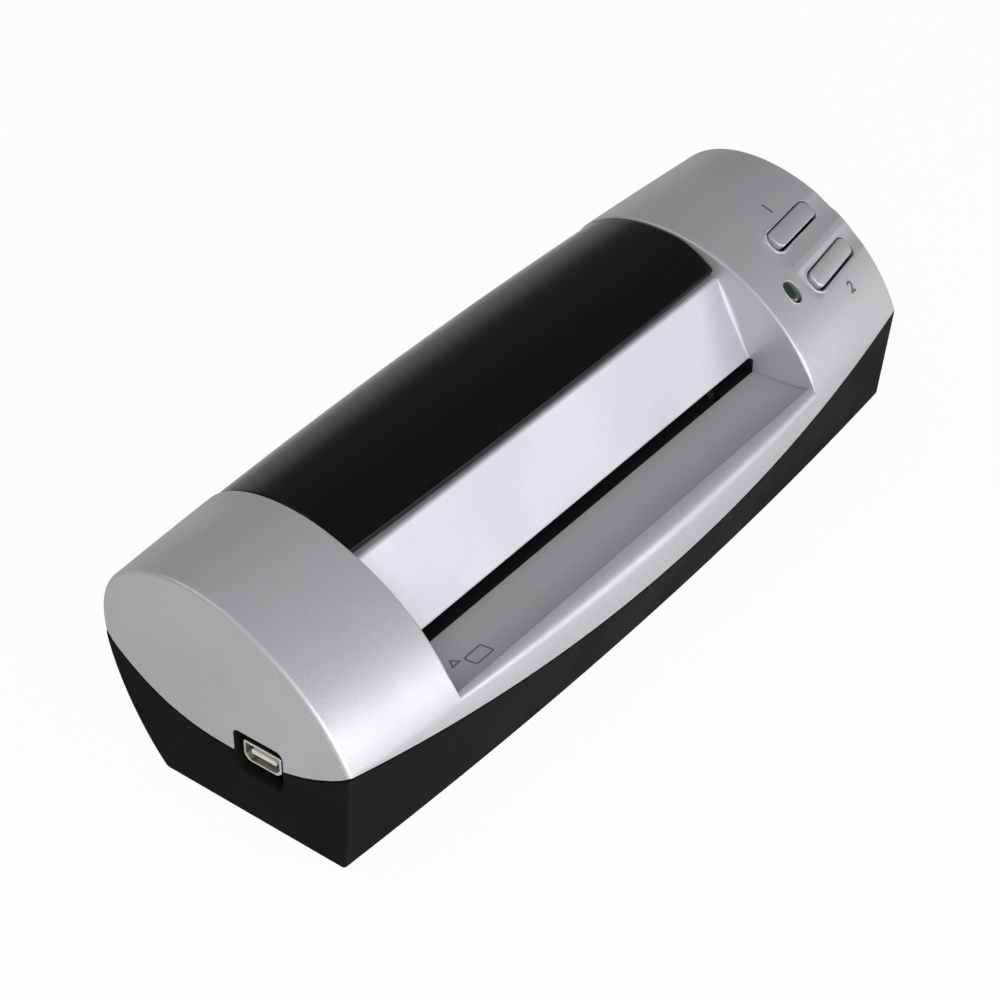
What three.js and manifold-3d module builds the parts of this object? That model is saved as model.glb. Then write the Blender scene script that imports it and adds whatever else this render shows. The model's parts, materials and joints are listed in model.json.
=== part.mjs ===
// A desktop business card scanner: an arched silver case on a black base, about 158 mm long.
// A card is laid on the front tray, drawn through the slot past an image sensor, and leaves at the back.
// Millimetres, Z up, X along the case with the USB end at -X, the card enters at the front (-Y).
import * as THREE from 'three';
import { mergeVertices } from 'three/addons/utils/BufferGeometryUtils.js';
import Module from 'manifold-3d';

const wasm = await Module();
wasm.setup();

// Case, overall
const bodyLength = 158;
const bodyDepth = 58.4;
const wall = 1.8;
const fit = 0.3;
const looseFit = 0.6;
const overrun = 6;
const edgeBevel = 0.5;

// Case outline: depths are measured back from the front of the case, heights from its underside
const frontCornerSetback = 4.87;
const backCornerSetback = 3.37;
const shoulderHeight = 20.3;
const shoulderLean = 1.37;
const backHeight = 23.6;
const backTuck = 10.85;
const footLeanCorner = 1.93;
const footLeanMiddle = 3.92;
const frontHandleRise = 27.2;
const frontHandleReach = 12;
const backHandleRise = 25.5;
const backHandleReach = 3;
const backCurveDrops = [7.6, 17.6];
const backCurveTuckShares = [0.08, 0.49];

// Line where the two shells meet
const partingDipFront = 7.27;
const partingDipBack = 9.5;
const endPartingHeight = 12.9;
const partingPowerShare = 2.4;
const partingReachShare = 1.3;
const roofHeight = backHeight + backHandleRise + frontHandleRise;

// Card recess in the top shell
const recessWidthShare = 0.645;
const recessWidth = bodyLength * recessWidthShare;
const recessOffsetShare = -0.0237;
const recessOffset = bodyLength * recessOffsetShare;
const rimDepth = 4.1;
const rimTopHeight = 20.5;
const rimStep = 1.1;
const floorHeight = rimTopHeight - rimStep;
const bulkheadLap = 0.5;
const bulkheadBottom = floorHeight - bulkheadLap;

// Steep guide plate
const slotDepthShare = 0.2825;
const slotDepth = bodyDepth * slotDepthShare;
const slotOpening = 1.7;
const slotTopHeight = floorHeight + slotOpening;
const plateTopRise = 15.1;
const plateTopHeight = shoulderHeight + plateTopRise;
const plateSlopeDegrees = 61.2;
const plateThickness = 1.6;
const plateFlangeReach = 3.2;

// Gloss panel on the arch, its edges given as places along the arch
const panelFrontShare = 0.357;
const panelBackShare = 0.86;
const panelRecess = 0.3;
const panelLipDrop = 2;
const panelLipShare = 0.11;
const panelLipPowerShare = 1.5;
const panelThickness = 1.5;
const panelBedShare = 0.392;

// Feed tray and upper guide
const floorThickness = 1.6;
const floorRise = 0.9;
const floorRiseRun = 5.6;
const trayBackGap = 5.2;
const trayBackDepth = bodyDepth - trayBackGap;
const exitSlotHeight = 2.4;
const exitSlotMargin = 4.6;
const upperGuideLift = 0.1;
const upperGuideHeight = slotTopHeight + upperGuideLift;
const upperGuideThickness = 1.6;
const upperGuideInset = 3.1;

// Gear teeth, which set how far apart the shafts stand
const gearModuleShare = 0.00856;
const gearModule = bodyDepth * gearModuleShare;
const toothHeightShares = [0.7, 1.2];
const toothWidthShares = [0.84, 0.4];
const driveTeeth = 24;
const idlerTeeth = 19;
const reductionSmallTeeth = 12;
const reductionBigTeeth = 40;
const pinionTeeth = 10;

// Rollers and their shafts
const frontShaftDepthShare = 0.404;
const frontShaftDepth = bodyDepth * frontShaftDepthShare;
const shaftSpacing = gearModule * (driveTeeth + idlerTeeth);
const shaftRadius = 1.5;
const driveRollerRadiusShare = 0.0719;
const driveRollerRadius = bodyDepth * driveRollerRadiusShare;
const rollerProud = 0.4;
const shaftHeight = floorHeight + rollerProud - driveRollerRadius;
const driveRollerLength = 12;
const rollerSpreadShare = 0.255;
const rollerSpread = recessWidth * rollerSpreadShare;
const pinchRadiusShare = 0.048;
const pinchRadius = bodyDepth * pinchRadiusShare;
const pinchLength = 8;
const pinchAxleRadius = 1;
const pinchAxleOverhang = 1;
const pinchAxleHalfLength = rollerSpread + pinchLength / 2 + pinchAxleOverhang;
const pinchPostSpread = 16;
const pinchPostThickness = 2;
const pinchPostHeight = 2.6;
const pinchPostHalfDepth = 2.6;
const bushWall = 1;
const bushFlangeRadius = 3.9;
const bushFlangeThickness = 0.8;
const ribThickness = 2;
const ribLeadShare = 0.1045;
const ribTailShare = 0.096;
const ribDepths = [
  frontShaftDepth - bodyDepth * ribLeadShare,
  frontShaftDepth + shaftSpacing + bodyDepth * ribTailShare,
];

// Bow springs
const bowThickness = 0.4;
const bowWidth = 3;
const bowHalfLength = 17.5;
const platenBowEndGap = 0.35;
const platenBowHalfLength = recessWidth / 2 - platenBowEndGap;
const bowSeatShare = 0.8;

// Image sensor and the pressure bar over it
const sensorEndGap = 1.95;
const sensorHalfLength = recessWidth / 2 - sensorEndGap;
const sensorRollerGap = 1;
const sensorDepths = [
  frontShaftDepth + driveRollerRadius + sensorRollerGap,
  frontShaftDepth + shaftSpacing - driveRollerRadius - sensorRollerGap,
];
const sensorBottom = 8;
const sensorGlassThickness = 1.1;
const sensorGlassMargin = 1.4;
const sensorProud = 0.3;
const saddleSpreadShare = 0.2944;
const saddleSpread = recessWidth * saddleSpreadShare;
const saddleThickness = 3;
const platenEndGap = 2.45;
const platenHalfLength = recessWidth / 2 - platenEndGap;
const platenSideGap = 2.05;
const platenFootHalfWidth = (sensorDepths[1] - sensorDepths[0]) / 2 - platenSideGap;
const platenFlangeLap = 1.2;
const platenFlangeHalfWidth = platenFootHalfWidth + platenFlangeLap;
const platenFlangeThickness = 1.2;
const cardGap = 0.4;
const platenPostThickness = 1.5;

// Gear train in the right compartment
const gearStart = 3.4;
const gearWidth = 2.8;
const gearPlaneGap = 0.5;
const bigGearWidth = 2;
const reductionLeanDegrees = 20;
const pinionDropShare = 0.21;
const pinionDrop = bodyDepth * pinionDropShare;
const pinRadius = 1;
const idlerStubRadius = 1.2;
const pinHeadRadius = 1.8;
const pinHeadThickness = 0.6;

// Motor and bracket
const motorRadiusShare = 0.1284;
const motorRadius = bodyDepth * motorRadiusShare;
const motorEndGap = 0.5;
const motorShaftRadius = 0.75;
const motorBossRadius = 3.1;
const motorBoreDepth = 3.6;
const bracketThickness = 1;
const bracketFootLength = 4.8;
const bracketMargin = 1.2;
const bracketFootTuck = 3.5;

// Buttons and status light on the right cap
const buttonLengthShare = 0.09;
const buttonLength = bodyLength * buttonLengthShare;
const buttonWidth = 3.7;
const buttonProud = 0.55;

const buttonGap = 0.4;
const buttonCorner = 1.2;
const buttonTravel = 0.5;
const buttonFlangeLap = 0.9;
const buttonFlangeThickness = 1.1;
const buttonFlangeGap = 1;
const buttonTiltDegrees = 38;
const buttonXShares = [0.4265, 0.4316];
const buttonClimbs = [40.5, 30.6];
const buttonTurnDegrees = [5, 7];
const lensXShare = 0.3475;
const lensClimb = 31;
const lensHalfWidth = 1.05;
const lensHalfLength = 1.95;
const lensProud = 0.15;
const scoopRadius = 11;
const scoopDepth = 0.55;
const scoopTiltDegrees = 1.6;
const scoopLead = 2.4;
const boardDepthFromTop = 7.4;
const buttonBoardXShares = [0.3266, 0.4816];
const buttonBoardClimbs = [26, 44.6];
const boardThickness = 1.2;
const switchSize = 4.5;
const switchHeight = 2;
const switchStemRadius = 1;
const switchStemHeight = 0.7;
const lightSize = 2;
const lightHeight = 1.4;

// USB end
const portDepthShare = 0.392;
const portWidth = 7.7;
const portHeight = 4;
const portLength = 8.6;
const portShellThickness = 0.4;
const portChamfer = 0.9;
const portTongueWidth = 5;
const portTongueThickness = 0.9;
const portBlockLength = 2.4;
const notchWidth = 10.2;
const notchShift = 0.6;
const notchBottom = 9.2;
const notchTop = 17.6;
const notchCorner = 1.3;

// Main board, cables and chip
const mainBoardTop = 11.7;
const mainBoardRibGap = 4.5;
const mainBoardDepthShares = [0.209, 0.596];
const mainBoardEndGap = 0.3;
const boardPostRadius = 2;
const boardPostInset = 3;
const chipWidth = 7;
const chipHeight = 1.2;
const chipGap = 0.5;
const cableThickness = 0.4;
const ribbonWidth = 4;

const ribbonHeight = 3.2;
const ribbonRiserXShare = 0.418;
const ribbonTopGap = 0.4;
const sensorCableWidth = 4;
const sensorCableDepthShare = 0.56;
const sensorCableOverlap = 5;

// Card lever
const leverEndGap = 11.2;
const leverPivotLead = 1.3;
const leverPivotHeight = 14.6;
const leverThickness = 1.6;
const leverArmWidth = 1.5;
const leverTipReach = 3.6;
const leverTipRise = 5.8;
const leverFlagReachShare = 0.0925;
const leverFlagReach = bodyDepth * leverFlagReachShare;
const leverFlagDrop = 6;
const leverPinRadius = 1;
const leverPinHalfLength = 3.4;
const leverLugGap = 0.4;
const leverLugThickness = 1.4;
const leverLugHalfWidth = 2.2;
const leverLugDrop = 2.2;
const leverSlitBack = 6.6;
const leverSlitFront = 0.4;
const optoHalfLength = 3;
const optoLead = 2.9;
const optoTail = 1.5;
const optoHeights = [5.7, 10.6];
const optoSlotWidth = 2.4;
const optoSlotFloor = 1.6;

// Feet and screws
const footRadius = 3.5;
const footHeight = 1.6;
const footStand = 0.8;
const footXShares = [0.4494, 0.3861];
const footDepthShares = [0.2, 0.6627];
const screwXShares = [0.367, 0.4633];
const rearScrewDepthShare = 0.6627;
const screwShankRadius = 1.1;
const screwHeadRadius = 2;
const screwHeadHeight = 1.3;
const screwSeatHeight = 3.6;
const screwTop = 17.5;
const screwBossTop = 19;
const screwPostTop = 12;
const screwPostWall = 0.9;
const screwBossWall = 1.2;

// Counts of facets and steps
const archSteps = 26;
const backSteps = 5;
const lengthSteps = 10;
const partingSteps = 14;
const panelSteps = 14;
const roundSides = 24;
const smallSides = 14;
const bowSteps = 10;
const cornerSteps = 4;
const searchSteps = 900;

// Places worked out from the sizes above
const halfLength = bodyLength / 2;
const halfDepth = bodyDepth / 2;
const atDepth = (depth) => depth - halfDepth;
const recessLeft = recessOffset - recessWidth / 2;
const recessRight = recessOffset + recessWidth / 2;
const pathX = recessOffset;
const leverX = recessRight - leverEndGap;
const leverPivotDepth = slotDepth - leverPivotLead;
const optoDepths = [
  leverPivotDepth - leverFlagReach - optoLead,
  leverPivotDepth - leverFlagReach + optoTail,
];
const ribbonDepth = ribDepths[0] - fit - ribbonWidth / 2;
const screwPostRadius = screwHeadRadius + fit + screwPostWall;
const screwX = screwXShares.map((share) => bodyLength * share);
const screwDepths = [
  ribbonDepth - ribbonWidth / 2 - fit - screwPostRadius,
  bodyDepth * rearScrewDepthShare,
];
const footX = footXShares.map((share) => bodyLength * share);
const footDepths = footDepthShares.map((share) => bodyDepth * share);
const portY = atDepth(bodyDepth * portDepthShare);
const frontShaftY = atDepth(frontShaftDepth);
const rearShaftY = frontShaftY + shaftSpacing;
const cardHeight = shaftHeight + driveRollerRadius;
const pinchHeight = cardHeight + fit + pinchRadius;
const upperGuideTop = upperGuideHeight + upperGuideThickness;
const plateSlope = THREE.MathUtils.degToRad(plateSlopeDegrees);
const leftRib = [recessLeft - ribThickness, recessLeft];
const rightRib = [recessRight, recessRight + ribThickness];
const gearPlane = [recessRight + gearStart, recessRight + gearStart + gearWidth];
const bigGearPlane = [gearPlane[1] + gearPlaneGap, gearPlane[1] + gearPlaneGap + bigGearWidth];
const bracketPlane = [bigGearPlane[1] + fit, bigGearPlane[1] + fit + bracketThickness];
const sensorY = sensorDepths.map(atDepth);
const sensorMiddleY = (sensorY[0] + sensorY[1]) / 2;
const buttonTilt = THREE.MathUtils.degToRad(buttonTiltDegrees);
const frontClimb = halfDepth * Math.cos(buttonTilt);
const buttonPlaces = ['button_1', 'button_2'].map((name, i) => ({
  name,
  x: bodyLength * buttonXShares[i],
  slope: buttonClimbs[i] - frontClimb,
  turnDegrees: buttonTurnDegrees[i],
}));
const lensPlace = { x: bodyLength * lensXShare, slope: lensClimb - frontClimb };
const buttonBoardX = buttonBoardXShares.map((share) => bodyLength * share);
const buttonBoardSlopes = buttonBoardClimbs.map((climb) => climb - frontClimb);

// Solids

function solidOf(geometry) {
  const bare = geometry.clone();
  bare.deleteAttribute('normal');
  bare.deleteAttribute('uv');
  const merged = mergeVertices(bare);
  return new wasm.Manifold(new wasm.Mesh({
    numProp: 3,
    vertProperties: new Float32Array(merged.attributes.position.array),
    triVerts: new Uint32Array(merged.index.array),
  }));
}

function geometryOf(solid) {
  const mesh = solid.getMesh();
  const geometry = new THREE.BufferGeometry();
  geometry.setAttribute('position', new THREE.BufferAttribute(mesh.vertProperties, 3));
  geometry.setIndex(new THREE.BufferAttribute(mesh.triVerts, 1));
  const flat = geometry.toNonIndexed();
  flat.computeVertexNormals();
  return flat;
}

const joined = (...solids) => solids.reduce((sum, solid) => sum.add(solid));
const cut = (solid, ...tools) => tools.reduce((rest, tool) => rest.subtract(tool), solid);

function box([x0, x1], [y0, y1], [z0, z1]) {
  const geometry = new THREE.BoxGeometry(x1 - x0, y1 - y0, z1 - z0);
  geometry.translate((x0 + x1) / 2, (y0 + y1) / 2, (z0 + z1) / 2);
  return solidOf(geometry);
}

function extrusion(points, depth, holes = []) {
  const shape = new THREE.Shape(points);
  shape.holes = holes.map((hole) => new THREE.Path(hole));
  return new THREE.ExtrudeGeometry(shape, { depth, bevelEnabled: false, steps: 1 });
}

// An outline in (y, z), run along X.
function prismX(points, [x0, x1], holes = []) {
  const geometry = extrusion(points, x1 - x0, holes);
  const turn = new THREE.Matrix4().set(0, 0, 1, x0, 1, 0, 0, 0, 0, 1, 0, 0, 0, 0, 0, 1);
  geometry.applyMatrix4(turn);
  return solidOf(geometry);
}

// An outline in (x, z), run along Y.
function prismY(points, [y0, y1]) {
  const geometry = extrusion(points, y1 - y0);
  geometry.rotateX(Math.PI / 2);
  geometry.translate(0, y1, 0);
  return solidOf(geometry);
}

function rodX([x0, x1], [y, z], radius, sides = smallSides) {
  const geometry = new THREE.CylinderGeometry(radius, radius, x1 - x0, sides);
  geometry.rotateZ(Math.PI / 2);
  geometry.translate((x0 + x1) / 2, y, z);
  return solidOf(geometry);
}

function rodZ([x, y], [z0, z1], radius, sides = smallSides) {
  const geometry = new THREE.CylinderGeometry(radius, radius, z1 - z0, sides);
  geometry.rotateX(Math.PI / 2);
  geometry.translate(x, y, (z0 + z1) / 2);
  return solidOf(geometry);
}

function ringX(range, centre, outer, inner, sides = roundSides) {
  const bore = [range[0] - overrun, range[1] + overrun];
  return cut(rodX(range, centre, outer, sides), rodX(bore, centre, inner, smallSides));
}

// A closed outline in (radius, x), turned round an axis along X.
function turnedX(profile, [y, z]) {
  const ring = THREE.ShapeUtils.isClockWise(profile) ? [...profile].reverse() : profile;
  const geometry = new THREE.LatheGeometry([...ring, ring[0]], smallSides);
  geometry.rotateZ(-Math.PI / 2);
  geometry.translate(0, y, z);
  return solidOf(geometry);
}

// Closed skin through rings of points, one ring for each station along X.
function loft(stations, ringAt) {
  const rings = stations.map((x) => {
    const ring = ringAt(x);
    const turned = THREE.ShapeUtils.isClockWise(ring) ? ring.reverse() : ring;
    return turned.map((p) => new THREE.Vector3(x, p.x, p.y));
  });
  const count = rings[0].length;
  const faces = [];
  for (let i = 0; i + 1 < rings.length; i += 1) {
    for (let j = 0; j < count; j += 1) {
      const next = (j + 1) % count;
      faces.push(rings[i][j], rings[i + 1][next], rings[i + 1][j]);
      faces.push(rings[i][j], rings[i][next], rings[i + 1][next]);
    }
  }
  for (const last of [false, true]) {
    const ring = last ? rings[rings.length - 1] : rings[0];
    const flat = ring.map((p) => new THREE.Vector2(p.y, p.z));
    for (const [a, b, c] of THREE.ShapeUtils.triangulateShape(flat, [])) {
      faces.push(...(last ? [ring[a], ring[b], ring[c]] : [ring[a], ring[c], ring[b]]));
    }
  }
  return solidOf(new THREE.BufferGeometry().setFromPoints(faces));
}

// Case outline

const bow = (x) => 1 - (x / halfLength) ** 2;
const vec = (y, z) => new THREE.Vector2(y, z);
const frontEdgeY = (x) => frontCornerSetback * (1 - bow(x)) - halfDepth;
const backEdgeY = (x) => halfDepth - backCornerSetback * (1 - bow(x));

function footPoint(x) {
  return vec(frontEdgeY(x) + footLeanCorner * (1 - bow(x)) + footLeanMiddle * bow(x), 0);
}

function archCurve(x) {
  const front = vec(frontEdgeY(x) + shoulderLean * bow(x), shoulderHeight);
  const back = vec(backEdgeY(x), backHeight);
  const frontHandle = vec(front.x + frontHandleReach, front.y + frontHandleRise);
  const backHandle = vec(back.x + backHandleReach, back.y + backHandleRise);
  return new THREE.CubicBezierCurve(front, frontHandle, backHandle, back);
}

function frontCurve(x) {
  const arch = archCurve(x);
  const foot = vec(frontEdgeY(x), shoulderHeight - partingDipFront * bow(x));
  const middle = (foot.y + shoulderHeight) / 2;
  const run = (shoulderHeight - middle) * (frontHandleReach / frontHandleRise);
  return new THREE.QuadraticBezierCurve(foot, vec(arch.v0.x - run, middle), arch.v0.clone());
}

function backCurve(x) {
  const top = vec(backEdgeY(x), backHeight);
  const handles = backCurveDrops.map((drop, i) =>
    vec(top.x - backTuck * backCurveTuckShares[i], top.y - drop));
  return new THREE.CubicBezierCurve(top, ...handles, vec(top.x - backTuck, 0));
}

function insetPoints(points, distance) {
  return points.map((point, i) => {
    const before = points[(i + points.length - 1) % points.length];
    const after = points[(i + 1) % points.length];
    const inwards = [[before, point], [point, after]].map(([a, b]) => {
      const along = b.clone().sub(a).normalize();
      return vec(along.y, -along.x);
    });
    const sum = inwards[0].clone().add(inwards[1]);
    return point.clone().addScaledVector(sum, distance / (1 + inwards[0].dot(inwards[1])));
  });
}

function caseOutline(x, inset) {
  const arch = new THREE.CurvePath();
  arch.add(frontCurve(x));
  arch.add(archCurve(x));
  const points = [footPoint(x), ...arch.getSpacedPoints(archSteps)];
  points.push(...backCurve(x).getPoints(backSteps).slice(1));
  return inset === 0 ? points : insetPoints(points, inset);
}

function archPoint(x, share, inset) {
  const curve = archCurve(x);
  const along = curve.getTangent(share);
  return curve.getPoint(share).add(vec(along.y, -along.x).multiplyScalar(inset));
}

function stationsBetween(x0, x1, steps = lengthSteps) {
  return Array.from({ length: steps + 1 }, (_, i) => x0 + ((x1 - x0) * i) / steps);
}

function caseSolid(inset) {
  const end = halfLength - inset;
  const bevel = inset === 0 ? edgeBevel : 0;
  const stations = stationsBetween(bevel - end, end - bevel);
  if (bevel > 0) {
    stations.unshift(-end);
    stations.push(end);
  }
  return loft(stations, (x) => caseOutline(x, Math.abs(x) === end ? inset + bevel : inset));
}

// The sheet between the shells, as a solid that fills all above it.
function abovePartingSheet(offset) {
  const reachShares = stationsBetween(-partingReachShare, partingReachShare, partingSteps);
  const sheetAt = (x) => reachShares.map((v) => {
    const edge = v < 0 ? -frontEdgeY(x) : backEdgeY(x);
    const corner = v < 0 ? shoulderHeight : backHeight;
    const dip = v < 0 ? partingDipFront : partingDipBack;
    const rise = Math.abs(v) ** partingPowerShare;
    const height = endPartingHeight + (corner - endPartingHeight) * rise;
    const sag = partingDipFront + (dip - partingDipFront) * rise;
    return vec(v * edge, height - sag * bow(x) + offset);
  });
  const end = halfLength + overrun;
  return loft(stationsBetween(-end, end, partingSteps), (x) => {
    const sheet = sheetAt(x);
    return [...sheet, vec(sheet[sheet.length - 1].x, roofHeight), vec(sheet[0].x, roofHeight)];
  });
}

// Places on the right cap, in the tilted frame of the button board

const alongSlope = new THREE.Vector3(0, Math.cos(buttonTilt), Math.sin(buttonTilt));
const outOfSlope = new THREE.Vector3(0, -Math.sin(buttonTilt), Math.cos(buttonTilt));

// How far the arch rises above the tilted frame's own plane at a place.
function archRise(x, slope) {
  let best = 0;
  let miss = Infinity;
  for (const point of archCurve(x).getPoints(searchSteps)) {
    const place = new THREE.Vector3(0, point.x, point.y);
    const off = Math.abs(place.dot(alongSlope) - slope);
    if (off < miss) {
      miss = off;
      best = place.dot(outOfSlope);
    }
  }
  return best;
}

const boardRise = archRise(buttonPlaces[0].x, buttonPlaces[0].slope) - boardDepthFromTop;
const switchTopRise = boardRise + fit + switchHeight;
const stemTopRise = switchTopRise + switchStemHeight;

// An outline in the tilted frame, run out along its normal.
function tiltedPrism(points, { x, slope, turnDegrees = 0 }, [rise0, rise1]) {
  const geometry = extrusion(points, rise1 - rise0);
  geometry.rotateZ(THREE.MathUtils.degToRad(turnDegrees));
  geometry.translate(x, slope, rise0);
  const frame = new THREE.Matrix4();
  frame.makeBasis(new THREE.Vector3(1, 0, 0), alongSlope, outOfSlope);
  geometry.applyMatrix4(frame);
  return solidOf(geometry);
}

function roundedRectangle(length, width, corner, steps = cornerSteps) {
  const points = [];
  for (const [signX, signY, quarter] of [[1, 1, 0], [-1, 1, 1], [-1, -1, 2], [1, -1, 3]]) {
    for (let i = 0; i <= steps; i += 1) {
      const angle = ((quarter + i / steps) * Math.PI) / 2;
      const x = signX * (length / 2 - corner) + corner * Math.cos(angle);
      points.push(vec(x, signY * (width / 2 - corner) + corner * Math.sin(angle)));
    }
  }
  return points;
}

function oval(halfWidth, halfHeight, steps = smallSides) {
  return Array.from({ length: steps }, (_, i) => {
    const angle = (i / steps) * 2 * Math.PI;
    return vec(halfWidth * Math.cos(angle), halfHeight * Math.sin(angle));
  });
}

const rectangle = (length, width) => [
  vec(-length / 2, -width / 2),
  vec(length / 2, -width / 2),
  vec(length / 2, width / 2),
  vec(-length / 2, width / 2),
];

// Screws, shared by both shells

const screwPlaces = [0, 1].flatMap((row) => [-1, 1].map((side) => ({
  name: `case_screw_${row === 0 ? 'front' : 'rear'}_${side < 0 ? 'left' : 'right'}`,
  x: side * screwX[row],
  y: atDepth(screwDepths[row]),
})));
const footPlaces = [0, 1].flatMap((row) => [-1, 1].map((side) => ({
  name: `foot_${row === 0 ? 'front' : 'rear'}_${side < 0 ? 'left' : 'right'}`,
  x: side * footX[row],
  y: atDepth(footDepths[row]),
})));

function portNotch() {
  const middle = vec(portY + notchShift, (notchBottom + notchTop) / 2);
  const outline = roundedRectangle(notchWidth, notchTop - notchBottom, notchCorner);
  const points = outline.map((p) => p.clone().add(middle));
  return prismX(points, [-halfLength - overrun, wall + fit - halfLength]);
}

// Shells

const outerCase = caseSolid(0);
const cavity = caseSolid(wall);

function bedInset(share, extra) {
  const lip = Math.max(0, (panelFrontShare + panelLipShare - share) / panelLipShare);
  return panelRecess + panelLipDrop * Math.min(1, lip) ** panelLipPowerShare + extra;
}

const panelShares = (from) => stationsBetween(from, panelBackShare, panelSteps);
const bedTopInset = panelThickness + fit;
const bedBottomInset = bedTopInset + wall;

// Hollow of the top shell between the end caps: the recess, and the room under the panel's bed.
function middleHollow() {
  const shares = panelShares(panelBedShare);
  const low = endPartingHeight - partingDipFront - overrun;
  const rimY = atDepth(rimDepth);
  return loft(stationsBetween(recessLeft, recessRight), (x) => {
    const under = shares.map((share) => archPoint(x, share, bedInset(share, bedBottomInset)));
    const lip = archPoint(x, panelBedShare, -overrun);
    const rearInset = insetPoints(caseOutline(x, 0), wall);
    const rear = rearInset.slice(-backSteps - 1).filter((p) => p.y > low);
    const backTop = archPoint(x, panelBackShare + (1 - panelBackShare) / 4, wall);
    const ring = [vec(rimY, low), vec(rimY, rimTopHeight), vec(-halfDepth - overrun, rimTopHeight)];
    ring.push(vec(-halfDepth - overrun, lip.y), lip, ...under, backTop, ...rear);
    ring.push(vec(rear[rear.length - 1].x, low));
    return ring;
  });
}

// Seat of the panel, sunk into the arch.
function panelPocket() {
  const shares = panelShares(panelFrontShare);
  return loft(stationsBetween(recessLeft, recessRight), (x) => {
    const outer = shares.map((share) => archPoint(x, share, -overrun));
    const inner = shares.map((share) => archPoint(x, share, bedInset(share, bedTopInset)));
    return [...outer, ...inner.reverse()];
  });
}

function buttonScoop({ x, slope, turnDegrees }) {
  const geometry = new THREE.CylinderGeometry(scoopRadius, scoopRadius, bodyLength, roundSides * 2);
  geometry.rotateZ(Math.PI / 2);
  geometry.rotateY(THREE.MathUtils.degToRad(scoopTiltDegrees));
  geometry.rotateZ(THREE.MathUtils.degToRad(turnDegrees));
  geometry.translate(x, slope, archRise(x, slope) + scoopRadius - scoopDepth);
  const frame = new THREE.Matrix4();
  frame.makeBasis(new THREE.Vector3(1, 0, 0), alongSlope, outOfSlope);
  geometry.applyMatrix4(frame);
  const reach = buttonLength / 2 + scoopLead;
  const zone = box([x - reach, halfLength + overrun], [-bodyDepth, bodyDepth], [0, bodyDepth]);
  return solidOf(geometry).intersect(zone);
}

function topShell() {
  const whole = outerCase.intersect(abovePartingSheet(fit / 2));
  const caps = [[-bodyLength, recessLeft - wall], [recessRight + wall, bodyLength]];
  const tall = [-overrun, bodyDepth];
  const deep = [-bodyDepth, bodyDepth];
  const capRooms = caps.map((range) => cavity.intersect(box(range, deep, tall)));
  const lowRoom = cavity.intersect(box([-bodyLength, bodyLength], deep, [-overrun, bulkheadBottom]));
  let shell = cut(whole, ...capRooms, lowRoom, middleHollow(), panelPocket());
  const thinCase = caseSolid(wall / 2);
  for (const { x, y } of screwPlaces) {
    const boss = rodZ([x, y], [screwPostTop + fit, bodyDepth], screwShankRadius + fit + screwBossWall);
    const bore = rodZ([x, y], [0, screwBossTop], screwShankRadius + fit);
    shell = shell.add(boss.intersect(thinCase)).subtract(bore);
  }
  const exit = box(
    [recessLeft + exitSlotMargin, recessRight - exitSlotMargin],
    [atDepth(trayBackDepth) - wall, bodyDepth],
    [floorHeight - fit, floorHeight - fit + exitSlotHeight],
  );
  shell = cut(shell, exit, portNotch());
  for (const place of buttonPlaces) {
    const [length, width] = [buttonLength, buttonWidth].map((size) => size + buttonGap + buttonGap);
    const hole = roundedRectangle(length, width, buttonCorner + buttonGap);
    shell = cut(shell, buttonScoop(place), tiltedPrism(hole, place, [boardRise, bodyDepth]));
  }
  const lensHole = oval(lensHalfWidth + fit, lensHalfLength + fit);
  return cut(shell, tiltedPrism(lensHole, lensPlace, [boardRise, bodyDepth]));
}

function baseShell() {
  const below = outerCase.subtract(abovePartingSheet(-fit / 2));
  let shell = below.subtract(cavity);
  const floor = wall / 2;
  const inside = [];
  const ribY = ribDepths.map(atDepth);
  for (const range of [leftRib, rightRib]) {
    inside.push(box(range, ribY, [floor, bulkheadBottom - fit]));
  }
  for (const side of [-1, 1]) {
    const middle = pathX + side * saddleSpread;
    const range = [middle - saddleThickness / 2, middle + saddleThickness / 2];
    inside.push(box(range, sensorY, [floor, sensorBottom - fit]));
  }
  for (const { x, y } of screwPlaces) {
    inside.push(rodZ([x, y], [floor, screwPostTop], screwPostRadius));
  }
  for (const [x, y] of boardPosts) {
    inside.push(rodZ([x, y], [floor, mainBoardTop - boardThickness - fit], boardPostRadius));
  }
  const optoY = optoDepths.map(atDepth);
  const optoX = [leverX - optoHalfLength, leverX + optoHalfLength];
  inside.push(box(optoX, optoY, [floor, optoHeights[0] - fit]));
  const stub = rodX([rightRib[0], gearPlane[1]], gearCentres.idler, idlerStubRadius);
  const standing = joined(...inside);
  const rooted = standing.intersect(caseSolid(wall / 2)).subtract(abovePartingSheet(-fit / 2));
  shell = joined(shell, rooted, standing.intersect(caseSolid(wall + fit)));
  const tools = [portNotch()];
  for (const y of [frontShaftY, rearShaftY]) {
    const radius = shaftRadius + looseFit + bushWall;
    for (const range of [leftRib, rightRib]) {
      const wide = [range[0] - fit, range[1] + fit];
      tools.push(rodX(wide, [y, shaftHeight], radius, roundSides));
      tools.push(box(wide, [y - radius, y + radius], [shaftHeight, bulkheadBottom]));
    }
  }
  const cableY = atDepth(bodyDepth * sensorCableDepthShare);
  const cableHalf = sensorCableWidth / 2 + fit;
  const cableX = [leftRib[0] - fit, leftRib[1] + fit];
  const cableZ = [mainBoardTop, mainBoardTop + fit + cableThickness + looseFit];
  tools.push(box(cableX, [cableY - cableHalf, cableY + cableHalf], cableZ));
  for (const { x, y } of screwPlaces) {
    tools.push(rodZ([x, y], [-overrun, screwSeatHeight], screwHeadRadius + fit));
    tools.push(rodZ([x, y], [0, screwBossTop], screwShankRadius + fit));
  }
  for (const { x, y } of footPlaces) {
    tools.push(rodZ([x, y], [-overrun, footHeight - footStand + fit], footRadius + fit));
  }
  return cut(shell, ...tools).add(stub);
}

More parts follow.
